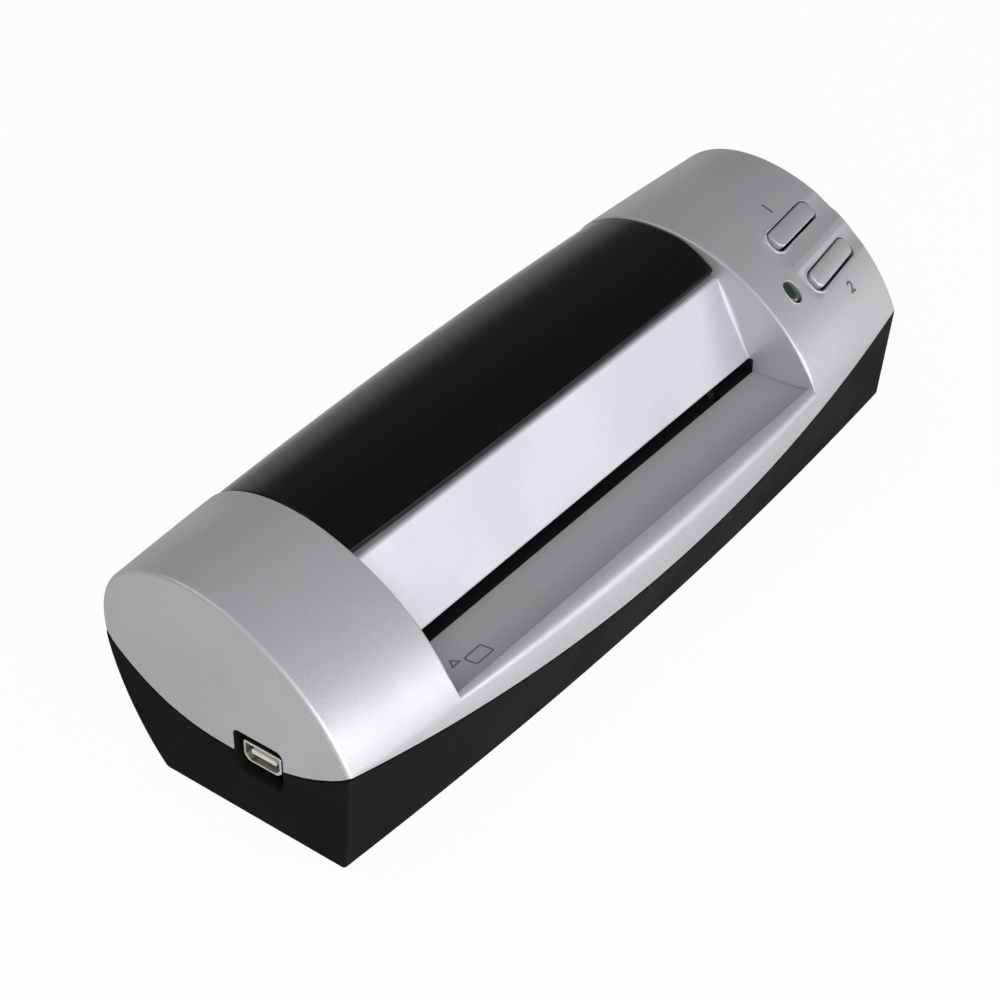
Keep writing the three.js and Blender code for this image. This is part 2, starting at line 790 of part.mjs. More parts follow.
// Outer pieces

function topPanel() {
  const shares = panelShares(panelFrontShare);
  const last = shares.length - 1;
  shares[last] -= fit / bodyDepth;
  return loft(stationsBetween(recessLeft + fit, recessRight - fit), (x) => {
    const outer = shares.map((share) => archPoint(x, share, bedInset(share, 0)));
    const inner = shares.map((share) => archPoint(x, share, bedInset(share, panelThickness)));
    return [...outer, ...inner.reverse()];
  });
}

function cardGuidePlate() {
  const footY = atDepth(slotDepth);
  const lean = 1 / Math.tan(plateSlope);
  const topY = footY + (plateTopHeight - slotTopHeight) * lean;
  const across = plateThickness / Math.sin(plateSlope);
  const flangeBottom = plateTopHeight - plateThickness;
  const bend = topY + across - plateThickness * lean;
  const points = [
    vec(footY, slotTopHeight),
    vec(footY + across, slotTopHeight),
    vec(bend, flangeBottom),
    vec(topY + plateFlangeReach, flangeBottom),
    vec(topY + plateFlangeReach, plateTopHeight),
    vec(topY, plateTopHeight),
  ];
  return prismX(points, [recessLeft + fit, recessRight - fit]);
}

function feedTray() {
  const frontY = atDepth(rimDepth) + fit;
  const flatY = frontY + floorRiseRun;
  const middle = (frontY + flatY) / 2;
  const bottom = floorHeight - floorThickness;
  const points = [
    vec(frontY, bottom + floorRise / 2),
    vec(flatY, bottom),
    vec(atDepth(trayBackDepth), bottom),
    vec(atDepth(trayBackDepth), floorHeight),
    vec(flatY, floorHeight),
    vec(middle, floorHeight + floorRise / 4),
    vec(frontY, floorHeight + floorRise),
  ];
  let tray = prismX(points, [recessLeft + fit, recessRight - fit]);
  const through = [bottom - overrun, floorHeight + overrun];
  const bottomDrop = bottom - shaftHeight;
  const half = Math.sqrt(driveRollerRadius ** 2 - bottomDrop ** 2) + looseFit;
  for (const y of [frontShaftY, rearShaftY]) {
    for (const side of [-1, 1]) {
      const x = pathX + side * rollerSpread;
      const reach = driveRollerLength / 2 + looseFit;
      tray = tray.subtract(box([x - reach, x + reach], [y - half, y + half], through));
    }
  }
  const sensorX = [pathX - sensorHalfLength - fit, pathX + sensorHalfLength + fit];
  tray = tray.subtract(box(sensorX, [sensorY[0] - fit, sensorY[1] + fit], through));
  const pivot = vec(atDepth(leverPivotDepth), leverPivotHeight);
  const slitX = [leverX - leverThickness / 2 - fit, leverX + leverThickness / 2 + fit];
  const slit = box(slitX, [pivot.x + leverSlitFront, pivot.x + leverSlitBack], through);
  const lugs = [-1, 1].map((side) => {
    const near = leverX + side * (leverThickness / 2 + leverLugGap);
    const far = near + side * leverLugThickness;
    const y = [pivot.x - leverLugHalfWidth, pivot.x + leverLugHalfWidth];
    const z = [leverPivotHeight - leverLugDrop, bottom + floorThickness / 2];
    return box([Math.min(near, far), Math.max(near, far)], y, z);
  });
  const pinX = [leverX - overrun, leverX + overrun];
  const pinHole = rodX(pinX, [pivot.x, pivot.y], leverPinRadius + fit);
  return cut(joined(tray, ...lugs), slit, pinHole);
}

// Guide above the card, with the posts that hold the pinch axles and the bow springs.
function upperGuide() {
  const y = [
    atDepth(slotDepth) + upperGuideInset,
    atDepth(trayBackDepth) - fit,
  ];
  const span = [recessLeft + fit, recessRight - fit];
  const posts = [];
  const tools = [];
  const through = [upperGuideHeight - overrun, upperGuideTop + overrun];
  for (const axleY of [frontShaftY, rearShaftY]) {
    for (const side of [-1, 1]) {
      const postX = pathX + side * pinchPostSpread;
      const postHalf = pinchPostThickness / 2;
      const post = [postX - postHalf, postX + postHalf];
      const postY = [axleY - pinchPostHalfDepth, axleY + pinchPostHalfDepth];
      posts.push(box(post, postY, [upperGuideHeight, upperGuideTop + pinchPostHeight]));
      const slotHalf = pinchAxleRadius + fit;
      const slotZ = [pinchHeight - pinchAxleRadius - fit, bodyDepth];
      const slotX = [post[0] - fit, post[1] + fit];
      tools.push(box(slotX, [axleY - slotHalf, axleY + slotHalf], slotZ));
      const rollerX = pathX + side * rollerSpread;
      const reach = pinchLength / 2 + looseFit;
      const windowX = [rollerX - reach, rollerX + reach];
      const windowHalf = pinchRadius + looseFit;
      tools.push(box(windowX, [axleY - windowHalf, axleY + windowHalf], through));
    }
  }
  const platenHalf = platenFootHalfWidth + fit;
  const platenX = [pathX - platenHalfLength - fit, pathX + platenHalfLength + fit];
  tools.push(box(platenX, [sensorMiddleY - platenHalf, sensorMiddleY + platenHalf], through));
  for (const side of [-1, 1]) {
    const far = side * (recessWidth / 2 - fit) + pathX;
    const near = far - side * platenPostThickness;
    const postX = [Math.min(near, far), Math.max(near, far)];
    const postY = [sensorMiddleY - bowWidth, sensorMiddleY + bowWidth];
    posts.push(box(postX, postY, [upperGuideHeight, upperGuideTop + pinchPostHeight]));
  }
  const axleTrench = [frontShaftY, rearShaftY].map((axleY) => box(
    [pathX - pinchAxleHalfLength - fit, pathX + pinchAxleHalfLength + fit],
    [axleY - pinchAxleRadius - fit, axleY + pinchAxleRadius + fit],
    [pinchHeight - pinchAxleRadius - fit, upperGuideTop],
  ));
  const plate = cut(box(span, y, [upperGuideHeight, upperGuideTop]), ...axleTrench);
  return cut(joined(plate, ...posts), ...tools);
}

// A strip that rests on two posts and bows down between them.
function bowSpring(halfSpan, y, lowHeight) {
  const high = upperGuideTop + pinchPostHeight + fit;
  const top = [];
  const bottom = [];
  for (let i = 0; i <= bowSteps; i += 1) {
    const share = (2 * i) / bowSteps - 1;
    const z = lowHeight + (high - lowHeight) * Math.min(1, (share / bowSeatShare) ** 2);
    bottom.push(vec(pathX + share * halfSpan, z));
    top.unshift(vec(pathX + share * halfSpan, z + bowThickness));
  }
  return prismY([...bottom, ...top], [y - bowWidth / 2, y + bowWidth / 2]);
}

function platenBar() {
  const range = [pathX - platenHalfLength, pathX + platenHalfLength];
  const foot = [sensorMiddleY - platenFootHalfWidth, sensorMiddleY + platenFootHalfWidth];
  const flange = [sensorMiddleY - platenFlangeHalfWidth, sensorMiddleY + platenFlangeHalfWidth];
  const bottom = floorHeight + sensorProud + cardGap;
  const seat = upperGuideTop + fit;
  const points = [
    vec(foot[0], bottom),
    vec(foot[1], bottom),
    vec(foot[1], seat),
    vec(flange[1], seat),
    vec(flange[1], seat + platenFlangeThickness),
    vec(flange[0], seat + platenFlangeThickness),
    vec(flange[0], seat),
    vec(foot[0], seat),
  ];
  return prismX(points, range);
}

// Image sensor

function sensorHousing() {
  const range = [pathX - sensorHalfLength, pathX + sensorHalfLength];
  const top = floorHeight + sensorProud - fit;
  const block = box(range, sensorY, [sensorBottom, top]);
  const glassZ = floorHeight + sensorProud - sensorGlassThickness - fit;
  const inner = sensorGlassMargin - fit;
  const pocketY = [sensorY[0] + inner, sensorY[1] - inner];
  return block.subtract(box([range[0] + inner, range[1] - inner], pocketY, [glassZ, top + overrun]));
}

function sensorGlass() {
  const top = floorHeight + sensorProud;
  const half = sensorHalfLength - sensorGlassMargin;
  const y = [sensorY[0] + sensorGlassMargin, sensorY[1] - sensorGlassMargin];
  return box([pathX - half, pathX + half], y, [top - sensorGlassThickness, top]);
}

// Gears

const gearCentres = (() => {
  const front = [frontShaftY, shaftHeight];
  const rear = [rearShaftY, shaftHeight];
  const idler = [(frontShaftY + rearShaftY) / 2, shaftHeight];
  const lean = THREE.MathUtils.degToRad(reductionLeanDegrees);
  const rise = (gearModule * (idlerTeeth + reductionSmallTeeth)) / 2;
  const reduction = [idler[0] + rise * Math.sin(lean), idler[1] + rise * Math.cos(lean)];
  const reach = (gearModule * (pinionTeeth + reductionBigTeeth)) / 2;
  const motor = [reduction[0] + Math.sqrt(reach ** 2 - pinionDrop ** 2), reduction[1] - pinionDrop];
  return { front, rear, idler, reduction, motor };
})();

// The turn that puts a gear's teeth in mesh with a neighbour whose own turn is known.
function meshTurn(teeth, centre, other) {
  const line = Math.atan2(centre[1] - other.centre[1], centre[0] - other.centre[0]);
  const otherPitch = (2 * Math.PI) / other.teeth;
  const pitch = (2 * Math.PI) / teeth;
  const phaseShare = (line - other.turn) / otherPitch;
  return line + Math.PI - pitch / 2 + pitch * phaseShare;
}

function gearOutline(teeth, [y, z], turn) {
  const pitchRadius = (teeth * gearModule) / 2;
  const tip = pitchRadius + toothHeightShares[0] * gearModule;
  const root = pitchRadius - toothHeightShares[1] * gearModule;
  const quarter = Math.PI / (2 * teeth);
  const rootHalf = quarter * (2 * toothWidthShares[0] - toothWidthShares[1]);
  const tipHalf = quarter * toothWidthShares[1];
  const points = [];
  for (let i = 0; i < teeth; i += 1) {
    const middle = turn + (2 * Math.PI * i) / teeth;
    const corners = [[root, -rootHalf], [tip, -tipHalf], [tip, tipHalf], [root, rootHalf]];
    for (const [radius, off] of corners) {
      points.push(vec(y + radius * Math.cos(middle + off), z + radius * Math.sin(middle + off)));
    }
  }
  return points;
}

const spin = (() => {
  const front = { teeth: driveTeeth, centre: gearCentres.front, turn: 0 };
  const idler = { teeth: idlerTeeth, centre: gearCentres.idler };
  idler.turn = meshTurn(idler.teeth, idler.centre, front);
  const rear = { teeth: driveTeeth, centre: gearCentres.rear };
  rear.turn = meshTurn(rear.teeth, rear.centre, idler);
  const small = { teeth: reductionSmallTeeth, centre: gearCentres.reduction };
  small.turn = meshTurn(small.teeth, small.centre, idler);
  const big = { teeth: reductionBigTeeth, centre: gearCentres.reduction, turn: 0 };
  const pinion = { teeth: pinionTeeth, centre: gearCentres.motor };
  pinion.turn = meshTurn(pinion.teeth, pinion.centre, big);
  return { front, idler, rear, small, big, pinion };
})();

function gear({ teeth, centre, turn }, range, boreRadius) {
  const bore = rodX([range[0] - overrun, range[1] + overrun], centre, boreRadius);
  return prismX(gearOutline(teeth, centre, turn), range).subtract(bore);
}

function reductionGear() {
  const bore = rodX([gearPlane[0] - fit, bigGearPlane[1] + fit], gearCentres.reduction, pinRadius + fit);
  const small = prismX(gearOutline(reductionSmallTeeth, gearCentres.reduction, spin.small.turn),
    [gearPlane[0], bigGearPlane[0] + fit]);
  const big = prismX(gearOutline(reductionBigTeeth, gearCentres.reduction, spin.big.turn), bigGearPlane);
  return joined(small, big).subtract(bore);
}

function reductionPin() {
  const shaft = rodX([gearPlane[0] - fit, bracketPlane[1] + fit], gearCentres.reduction, pinRadius);
  const headX = [bracketPlane[1] + fit, bracketPlane[1] + fit + pinHeadThickness];
  return shaft.add(rodX(headX, gearCentres.reduction, pinHeadRadius));
}

// Motor

const motorFace = bracketPlane[1] + fit;
const motorLength = screwX[1] - screwPostRadius - motorEndGap - motorFace;

function motorCan() {
  const can = rodX([motorFace, motorFace + motorLength], gearCentres.motor, motorRadius, roundSides);
  const boreX = [motorFace - fit, motorFace + motorBoreDepth];
  const bore = rodX(boreX, gearCentres.motor, motorShaftRadius + fit);
  return can.subtract(bore);
}

function motorPinion() {
  const teeth = prismX(gearOutline(pinionTeeth, gearCentres.motor, spin.pinion.turn), bigGearPlane);
  const shaftX = [bigGearPlane[0], motorFace + wall];
  return teeth.add(rodX(shaftX, gearCentres.motor, motorShaftRadius));
}

function motorBracket() {
  const [motorY, motorZ] = gearCentres.motor;
  const [pinY, pinZ] = gearCentres.reduction;
  const bottom = wall + fit;
  const near = motorY - motorRadius - bracketMargin;
  const far = motorY + motorRadius + bracketMargin;
  const lug = pinHeadRadius + bracketMargin;
  const points = [
    vec(near, bottom),
    vec(far - bracketFootTuck, bottom),
    vec(far, motorZ),
    vec(motorY + motorRadius / 2, motorZ + motorRadius),
    vec(pinY + lug, pinZ + lug),
    vec(pinY - lug, pinZ + lug),
    vec(near, motorZ + motorRadius),
  ];
  const plate = prismX(points, bracketPlane);
  const footX = [bracketPlane[0] - bracketFootLength, bracketPlane[1]];
  const foot = box(footX, [near, far - bracketFootTuck], [bottom, bottom + bracketThickness]);
  const holeX = [bracketPlane[0] - fit, bracketPlane[1] + fit];
  const shaftHole = rodX(holeX, gearCentres.motor, motorBossRadius + fit, roundSides);
  const pinHole = rodX(holeX, gearCentres.reduction, pinRadius + fit);
  return cut(plate.add(foot), shaftHole, pinHole);
}

// Shafts, rollers and bushes

const shaftX = [leftRib[0] - fit - bushFlangeThickness - fit, gearPlane[1]];

function bush(y, side) {
  const [inner, outer] = side < 0 ? [...leftRib].reverse() : rightRib;
  const shoulder = outer + side * fit;
  const bore = shaftRadius + fit;
  return turnedX([
    vec(bore, inner),
    vec(bore + bushWall, inner),
    vec(bore + bushWall, shoulder),
    vec(bushFlangeRadius, shoulder),
    vec(bushFlangeRadius, shoulder + side * bushFlangeThickness),
    vec(bore, shoulder + side * bushFlangeThickness),
  ], [y, shaftHeight]);
}

function roller(y, z, side, length, radius, boreRadius) {
  const x = pathX + side * rollerSpread;
  return ringX([x - length / 2, x + length / 2], [y, z], radius, boreRadius);
}

// Buttons, their board and the status light

function button(place) {
  const rise = archRise(place.x, place.slope);
  const cap = roundedRectangle(buttonLength, buttonWidth, buttonCorner);
  const skin = outerCaseRaised;
  const flangeTop = rise - wall - buttonFlangeGap;
  const flangeBottom = flangeTop - buttonFlangeThickness;
  const column = tiltedPrism(cap, place, [flangeBottom, bodyDepth]).intersect(skin);
  const wide = rectangle(buttonLength + buttonFlangeLap + buttonFlangeLap, buttonWidth);
  const flange = tiltedPrism(wide, place, [flangeBottom, flangeTop]);
  const stemEnd = stemTopRise + fit + buttonTravel;
  const stem = tiltedPrism(oval(switchStemRadius, switchStemRadius), place, [stemEnd, flangeTop]);
  return joined(column, flange, stem);
}

const outerCaseRaised = caseSolid(-buttonProud);

function lens() {
  const outline = oval(lensHalfWidth, lensHalfLength);
  const bottom = boardRise + fit + lightHeight + fit;
  return tiltedPrism(outline, lensPlace, [bottom, bodyDepth]).intersect(caseSolid(-lensProud));
}

function buttonBoard() {
  const length = buttonBoardX[1] - buttonBoardX[0];
  const width = buttonBoardSlopes[1] - buttonBoardSlopes[0];
  const middle = {
    x: (buttonBoardX[0] + buttonBoardX[1]) / 2,
    slope: (buttonBoardSlopes[0] + buttonBoardSlopes[1]) / 2,
  };
  return tiltedPrism(rectangle(length, width), middle, [boardRise - boardThickness, boardRise]);
}

function tactSwitch(place) {
  const body = tiltedPrism(rectangle(switchSize, switchSize), place, [boardRise + fit, switchTopRise]);
  const stem = oval(switchStemRadius, switchStemRadius);
  return body.add(tiltedPrism(stem, place, [switchTopRise - fit, stemTopRise]));
}

function statusLight() {
  const rise = boardRise + fit;
  return tiltedPrism(rectangle(lightSize, lightSize), lensPlace, [rise, rise + lightHeight]);
}

// USB port

function portOutline(inset) {
  const half = portWidth / 2 - inset;
  const low = portHeight / 2 - inset;
  const chamfer = portChamfer;
  const middleZ = mainBoardTop + fit + portHeight / 2;
  const points = [[-half, low], [-half, chamfer - low], [chamfer - half, -low]];
  points.push([half - chamfer, -low], [half, chamfer - low], [half, low]);
  return points.map(([y, z]) => vec(portY + y, middleZ + z)).reverse();
}

const portX = [fit - halfLength, fit - halfLength + portLength];

function portShell() {
  const inner = prismX(portOutline(portShellThickness), [portX[0] - overrun, portX[1] - portShellThickness]);
  return prismX(portOutline(0), portX).subtract(inner);
}

function portInsulator() {
  const end = portX[1] - portShellThickness - fit;
  const block = prismX(portOutline(portShellThickness + fit), [end - portBlockLength, end]);
  const z = mainBoardTop + fit + portHeight / 2;
  const tongue = box(
    [portX[0] + fit, end],
    [portY - portTongueWidth / 2, portY + portTongueWidth / 2],
    [z - portTongueThickness / 2, z + portTongueThickness / 2],
  );
  return block.add(tongue);
}

// Main board and cables

const mainBoardX = [
  wall + mainBoardEndGap - halfLength,
  leftRib[0] - mainBoardRibGap,
];
const mainBoardY = mainBoardDepthShares.map((share) => atDepth(bodyDepth * share));
const boardPosts = [
  [mainBoardX[1] - boardPostInset, mainBoardY[1] - boardPostInset],
  [mainBoardX[0] + boardPostInset, mainBoardY[0] + boardPostInset],
  [mainBoardX[0] + boardPostInset, mainBoardY[1] - boardPostInset],
];

function mainBoard() {
  return box(mainBoardX, mainBoardY, [mainBoardTop - boardThickness, mainBoardTop]);
}

function controllerChip() {
  const x = [portX[1] + chipGap, mainBoardX[1] - chipGap];
  return box(x, [portY, portY + chipWidth], [mainBoardTop + fit, mainBoardTop + fit + chipHeight]);
}

// Flat ribbon from the main board along the floor to the button board.
function ribbonCable() {
  const y = atDepth(ribbonDepth);
  const half = ribbonWidth / 2;
  const boardZ = mainBoardTop + fit;
  const dropX = mainBoardX[1] + fit;
  const lowestSlope = buttonBoardSlopes[0];
  const boardLow = alongSlope.clone().multiplyScalar(lowestSlope);
  boardLow.addScaledVector(outOfSlope, boardRise - boardThickness);
  const top = boardLow.z - ribbonTopGap;
  const t = cableThickness;
  const riserX = bodyLength * ribbonRiserXShare;
  const points = [
    vec(dropX - boardPostInset, boardZ),
    vec(dropX, boardZ),
    vec(dropX, ribbonHeight),
    vec(riserX + t, ribbonHeight),
    vec(riserX + t, top),
    vec(riserX, top),
    vec(riserX, ribbonHeight + t),
    vec(dropX + t, ribbonHeight + t),
    vec(dropX + t, boardZ + t),
    vec(dropX - boardPostInset, boardZ + t),
  ];
  return prismY(points, [y - half, y + half]);
}

function sensorCable() {
  const x = [mainBoardX[1] - sensorCableOverlap, pathX - sensorHalfLength - fit];
  const y = atDepth(bodyDepth * sensorCableDepthShare);
  const z = mainBoardTop + fit;
  return box(x, [y - sensorCableWidth / 2, y + sensorCableWidth / 2], [z, z + cableThickness]);
}

// Card lever

function cardLever() {
  const pivot = vec(atDepth(leverPivotDepth), leverPivotHeight);
  const arm = (dy, dz) => {
    const along = vec(dy, dz).normalize();
    const side = vec(-along.y, along.x).multiplyScalar(leverArmWidth / 2);
    const tip = pivot.clone().add(vec(dy, dz));
    const root = pivot.clone().addScaledVector(along, -leverPinRadius);
    return [root.clone().sub(side), tip.clone().sub(side), tip.clone().add(side), root.clone().add(side)];
  };
  const range = [leverX - leverThickness / 2, leverX + leverThickness / 2];
  const upper = prismX(arm(leverTipReach, leverTipRise), range);
  const flag = prismX(arm(-leverFlagReach, -leverFlagDrop), range);
  const pinX = [leverX - leverPinHalfLength, leverX + leverPinHalfLength];
  const hub = rodX(range, [pivot.x, pivot.y], leverPinRadius + leverArmWidth / 2);
  return joined(upper, flag, hub, rodX(pinX, [pivot.x, pivot.y], leverPinRadius));
}

function cardSensor() {
  const x = [leverX - optoHalfLength, leverX + optoHalfLength];
  const y = optoDepths.map(atDepth);
  const block = box(x, y, optoHeights);
  const slotX = [leverX - optoSlotWidth / 2, leverX + optoSlotWidth / 2];
  const floor = optoHeights[0] + optoSlotFloor;
  return block.subtract(box(slotX, [y[0] - overrun, y[1] + overrun], [floor, optoHeights[1] + overrun]));
}

// Feet and screws

function foot({ x, y }) {
  const top = footHeight - footStand;
  return rodZ([x, y], [-footStand, top], footRadius, roundSides);
}

function caseScrew({ x, y }) {
  const head = screwSeatHeight - fit;
  const profile = [
    vec(0, head - screwHeadHeight),
    vec(screwHeadRadius, head - screwHeadHeight),
    vec(screwHeadRadius, head),
    vec(screwShankRadius, head),
    vec(screwShankRadius, screwTop),
    vec(0, screwTop),
  ];
  const geometry = new THREE.LatheGeometry(profile, smallSides);
  geometry.rotateX(Math.PI / 2);
  geometry.translate(x, y, 0);
  return solidOf(geometry);
}

// Materials
const finish = (color, roughness, metalness = 0) =>
  new THREE.MeshStandardMaterial({ color, roughness, metalness });
const silver = () => finish(0xa4a4a8, 0.38, 0.3);
const brightSilver = () => finish(0xe2e1ea, 0.42, 0.1);
const black = () => finish(0x191a18, 0.6);
const glossBlack = () => finish(0x0b0c0a, 0.08);
const trayGrey = () => finish(0x7f8181, 0.55);
const innerBlack = () => finish(0x222324, 0.6);
const whitePlastic = () => finish(0xe8e8e2, 0.5);
const steel = () => finish(0xb9bbbd, 0.3, 1);
const rubber = () => finish(0x2a2a2a, 0.9);
const gearPlastic = () => finish(0xe4e2d8, 0.5);
const boardGreen = () => finish(0x1e5a38, 0.5);
const lensGreen = () => finish(0x1d3324, 0.2);
const glass = () => finish(0x9fb0b4, 0.05);

const scanner = new THREE.Group();
scanner.name = 'card_scanner';
const backBulge = Math.max(...archCurve(0).getPoints(archSteps).map((p) => p.x)) - halfDepth;
scanner.position.set(0, -backBulge / 2, footStand);

function place(name, solid, material) {
  const mesh = new THREE.Mesh(geometryOf(solid), material);
  mesh.name = name;
  scanner.add(mesh);
}

place('base_shell', baseShell(), black());
place('top_shell', topShell(), silver());
place('top_panel', topPanel(), glossBlack());
place('card_guide_plate', cardGuidePlate(), brightSilver());
place('feed_tray', feedTray(), trayGrey());
place('upper_guide', upperGuide(), innerBlack());

for (const spot of buttonPlaces) {
  place(spot.name, button(spot), silver());
  place(`tact_switch_${spot.name.slice(-1)}`, tactSwitch(spot), innerBlack());
}
place('status_lens', lens(), lensGreen());
place('status_light', statusLight(), lensGreen());
place('button_board', buttonBoard(), boardGreen());

place('usb_shell', portShell(), steel());
place('usb_insulator', portInsulator(), innerBlack());
place('main_board', mainBoard(), boardGreen());
place('controller_chip', controllerChip(), innerBlack());
place('ribbon_cable', ribbonCable(), whitePlastic());
place('sensor_cable', sensorCable(), whitePlastic());

place('image_sensor', sensorHousing(), innerBlack());
place('image_sensor_glass', sensorGlass(), glass());
place('pressure_bar', platenBar(), whitePlastic());
const pressureTop = upperGuideTop + looseFit + platenFlangeThickness;
place('pressure_bar_spring', bowSpring(platenBowHalfLength, sensorMiddleY, pressureTop), steel());

const sideNames = [[-1, 'left'], [1, 'right']];
for (const [end, y] of [['front', frontShaftY], ['rear', rearShaftY]]) {
  place(`${end}_drive_shaft`, rodX(shaftX, [y, shaftHeight], shaftRadius), steel());
  place(`${end}_pinch_axle`, rodX(
    [pathX - pinchAxleHalfLength, pathX + pinchAxleHalfLength],
    [y, pinchHeight],
    pinchAxleRadius,
  ), steel());
  const bowLow = pinchHeight + pinchAxleRadius + fit;
  place(`${end}_pinch_spring`, bowSpring(bowHalfLength, y, bowLow), steel());
  for (const [side, sideName] of sideNames) {
    const bore = shaftRadius + fit;
    const drive = roller(y, shaftHeight, side, driveRollerLength, driveRollerRadius, bore);
    place(`${end}_drive_roller_${sideName}`, drive, rubber());
    const pinchBore = pinchAxleRadius + fit;
    const pinch = roller(y, pinchHeight, side, pinchLength, pinchRadius, pinchBore);
    place(`${end}_pinch_roller_${sideName}`, pinch, whitePlastic());
    place(`${end}_bush_${sideName}`, bush(y, side), whitePlastic());
  }
}

place('front_drive_gear', gear(spin.front, gearPlane, shaftRadius + fit), gearPlastic());
place('rear_drive_gear', gear(spin.rear, gearPlane, shaftRadius + fit), gearPlastic());
place('idler_gear', gear(spin.idler, gearPlane, idlerStubRadius + fit), gearPlastic());
place('reduction_gear', reductionGear(), gearPlastic());
place('reduction_gear_pin', reductionPin(), steel());
place('motor_pinion', motorPinion(), gearPlastic());
place('motor_can', motorCan(), steel());
place('motor_bracket', motorBracket(), steel());

place('card_lever', cardLever(), innerBlack());
place('card_sensor', cardSensor(), innerBlack());

for (const spot of footPlaces) {
  place(spot.name, foot(spot), rubber());
}
for (const spot of screwPlaces) {
  place(spot.name, caseScrew(spot), steel());
}

export default scanner;
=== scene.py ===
"""The looks of a card scanner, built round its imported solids.

Shapes are worked out in millimetres on the case's own axes: X runs along the case from the socket end,
Y runs from front to back from the middle of the case, and Z runs up from its underside. A finished piece is
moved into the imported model's frame, in metres, by Workshop.deliver.
"""

from __future__ import annotations

import json
import logging
import math
from dataclasses import dataclass
from enum import Enum

import bmesh
import bpy
import numpy as np
from mathutils import Matrix, Vector

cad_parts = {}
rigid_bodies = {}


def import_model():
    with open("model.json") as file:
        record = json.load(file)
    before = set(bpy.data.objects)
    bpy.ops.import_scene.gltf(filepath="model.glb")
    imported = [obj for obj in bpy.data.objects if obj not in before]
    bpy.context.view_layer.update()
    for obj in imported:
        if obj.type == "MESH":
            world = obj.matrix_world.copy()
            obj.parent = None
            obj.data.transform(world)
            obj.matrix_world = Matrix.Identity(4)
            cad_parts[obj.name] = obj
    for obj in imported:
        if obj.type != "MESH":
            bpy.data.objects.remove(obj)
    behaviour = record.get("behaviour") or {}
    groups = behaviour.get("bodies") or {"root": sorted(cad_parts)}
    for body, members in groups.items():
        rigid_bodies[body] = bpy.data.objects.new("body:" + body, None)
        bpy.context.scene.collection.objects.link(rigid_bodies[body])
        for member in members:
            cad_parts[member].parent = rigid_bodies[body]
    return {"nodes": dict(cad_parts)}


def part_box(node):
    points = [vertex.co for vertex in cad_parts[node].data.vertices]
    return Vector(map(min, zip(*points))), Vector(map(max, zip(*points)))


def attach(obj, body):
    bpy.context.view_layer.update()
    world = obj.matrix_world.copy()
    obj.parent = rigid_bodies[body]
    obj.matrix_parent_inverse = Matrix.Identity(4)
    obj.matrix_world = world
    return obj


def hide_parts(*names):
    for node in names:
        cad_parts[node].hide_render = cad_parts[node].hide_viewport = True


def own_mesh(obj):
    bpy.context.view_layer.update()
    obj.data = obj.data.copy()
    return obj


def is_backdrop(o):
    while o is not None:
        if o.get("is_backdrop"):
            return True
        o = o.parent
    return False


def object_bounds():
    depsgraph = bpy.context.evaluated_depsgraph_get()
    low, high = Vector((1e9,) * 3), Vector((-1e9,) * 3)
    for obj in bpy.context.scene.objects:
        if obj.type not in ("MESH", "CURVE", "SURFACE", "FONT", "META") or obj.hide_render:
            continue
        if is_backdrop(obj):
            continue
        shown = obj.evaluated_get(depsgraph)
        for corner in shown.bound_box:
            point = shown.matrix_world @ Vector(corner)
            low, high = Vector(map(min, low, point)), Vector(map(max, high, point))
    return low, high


for spare in list(bpy.data.objects):
    bpy.data.objects.remove(spare)

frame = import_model()
CAD_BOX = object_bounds()

log = logging.getLogger("card_scanner")

Array = np.ndarray
Thing = bpy.types.Object
Wire = bpy.types.NodeSocket
Span = tuple[float, float]

METRES = 0.001
FOOT_STAND = 0.8
DEPTH_SHIFT = -0.0623
CORNERS = ("front_left", "front_right", "rear_left", "rear_right")

# Least divisors, for lengths and spans of nothing
NO_LENGTH = 1e-12
NO_SPAN = 1e-9


class Cut(Enum):
    """How one solid changes another."""

    TAKE = "DIFFERENCE"
    KEEP = "INTERSECT"
    JOIN = "UNION"


class Edge(Enum):
    """A place on the case's section, counted from the front foot over the top to the back foot."""

    FRONT_FOOT = 0
    FRONT_SEAM = 1
    BACK_SEAM = 2
    BACK_FOOT = 3


# Curves and rings

def bezier(controls: Array, shares: Array) -> Array:
    """Points of a Bezier curve: each is the sum of its controls, weighted by Bernstein's polynomials.

    Args:
        controls: Control points, shape (stations, order + 1, 2).
        shares: Places along the curve from 0 to 1.

    Returns:
        Points, shape (stations, places, 2).
    """
    order = controls.shape[1] - 1
    weights = np.stack([
        math.comb(order, i) * shares**i * (1 - shares) ** (order - i) for i in range(order + 1)
    ])
    return np.einsum("kic,it->ktc", controls, weights)


def unit(vectors: Array) -> Array:
    """Vectors divided by their own lengths."""
    return vectors / np.maximum(np.linalg.norm(vectors, axis=-1, keepdims=True), NO_LENGTH)


def inward(vectors: Array) -> Array:
    """Directions turned a quarter to the inside of a ring that runs up the front and over the top."""
    return np.stack([vectors[..., 1], -vectors[..., 0]], -1)


def inset_open(points: Array, distance: Array | float) -> Array:
    """Each point of open curves moved inwards along its normal, which comes from the central difference."""
    normals = inward(unit(np.gradient(points[..., :2], axis=-2)))
    moved = points.copy()
    moved[..., :2] += normals * np.asarray(distance)[..., None]
    return moved


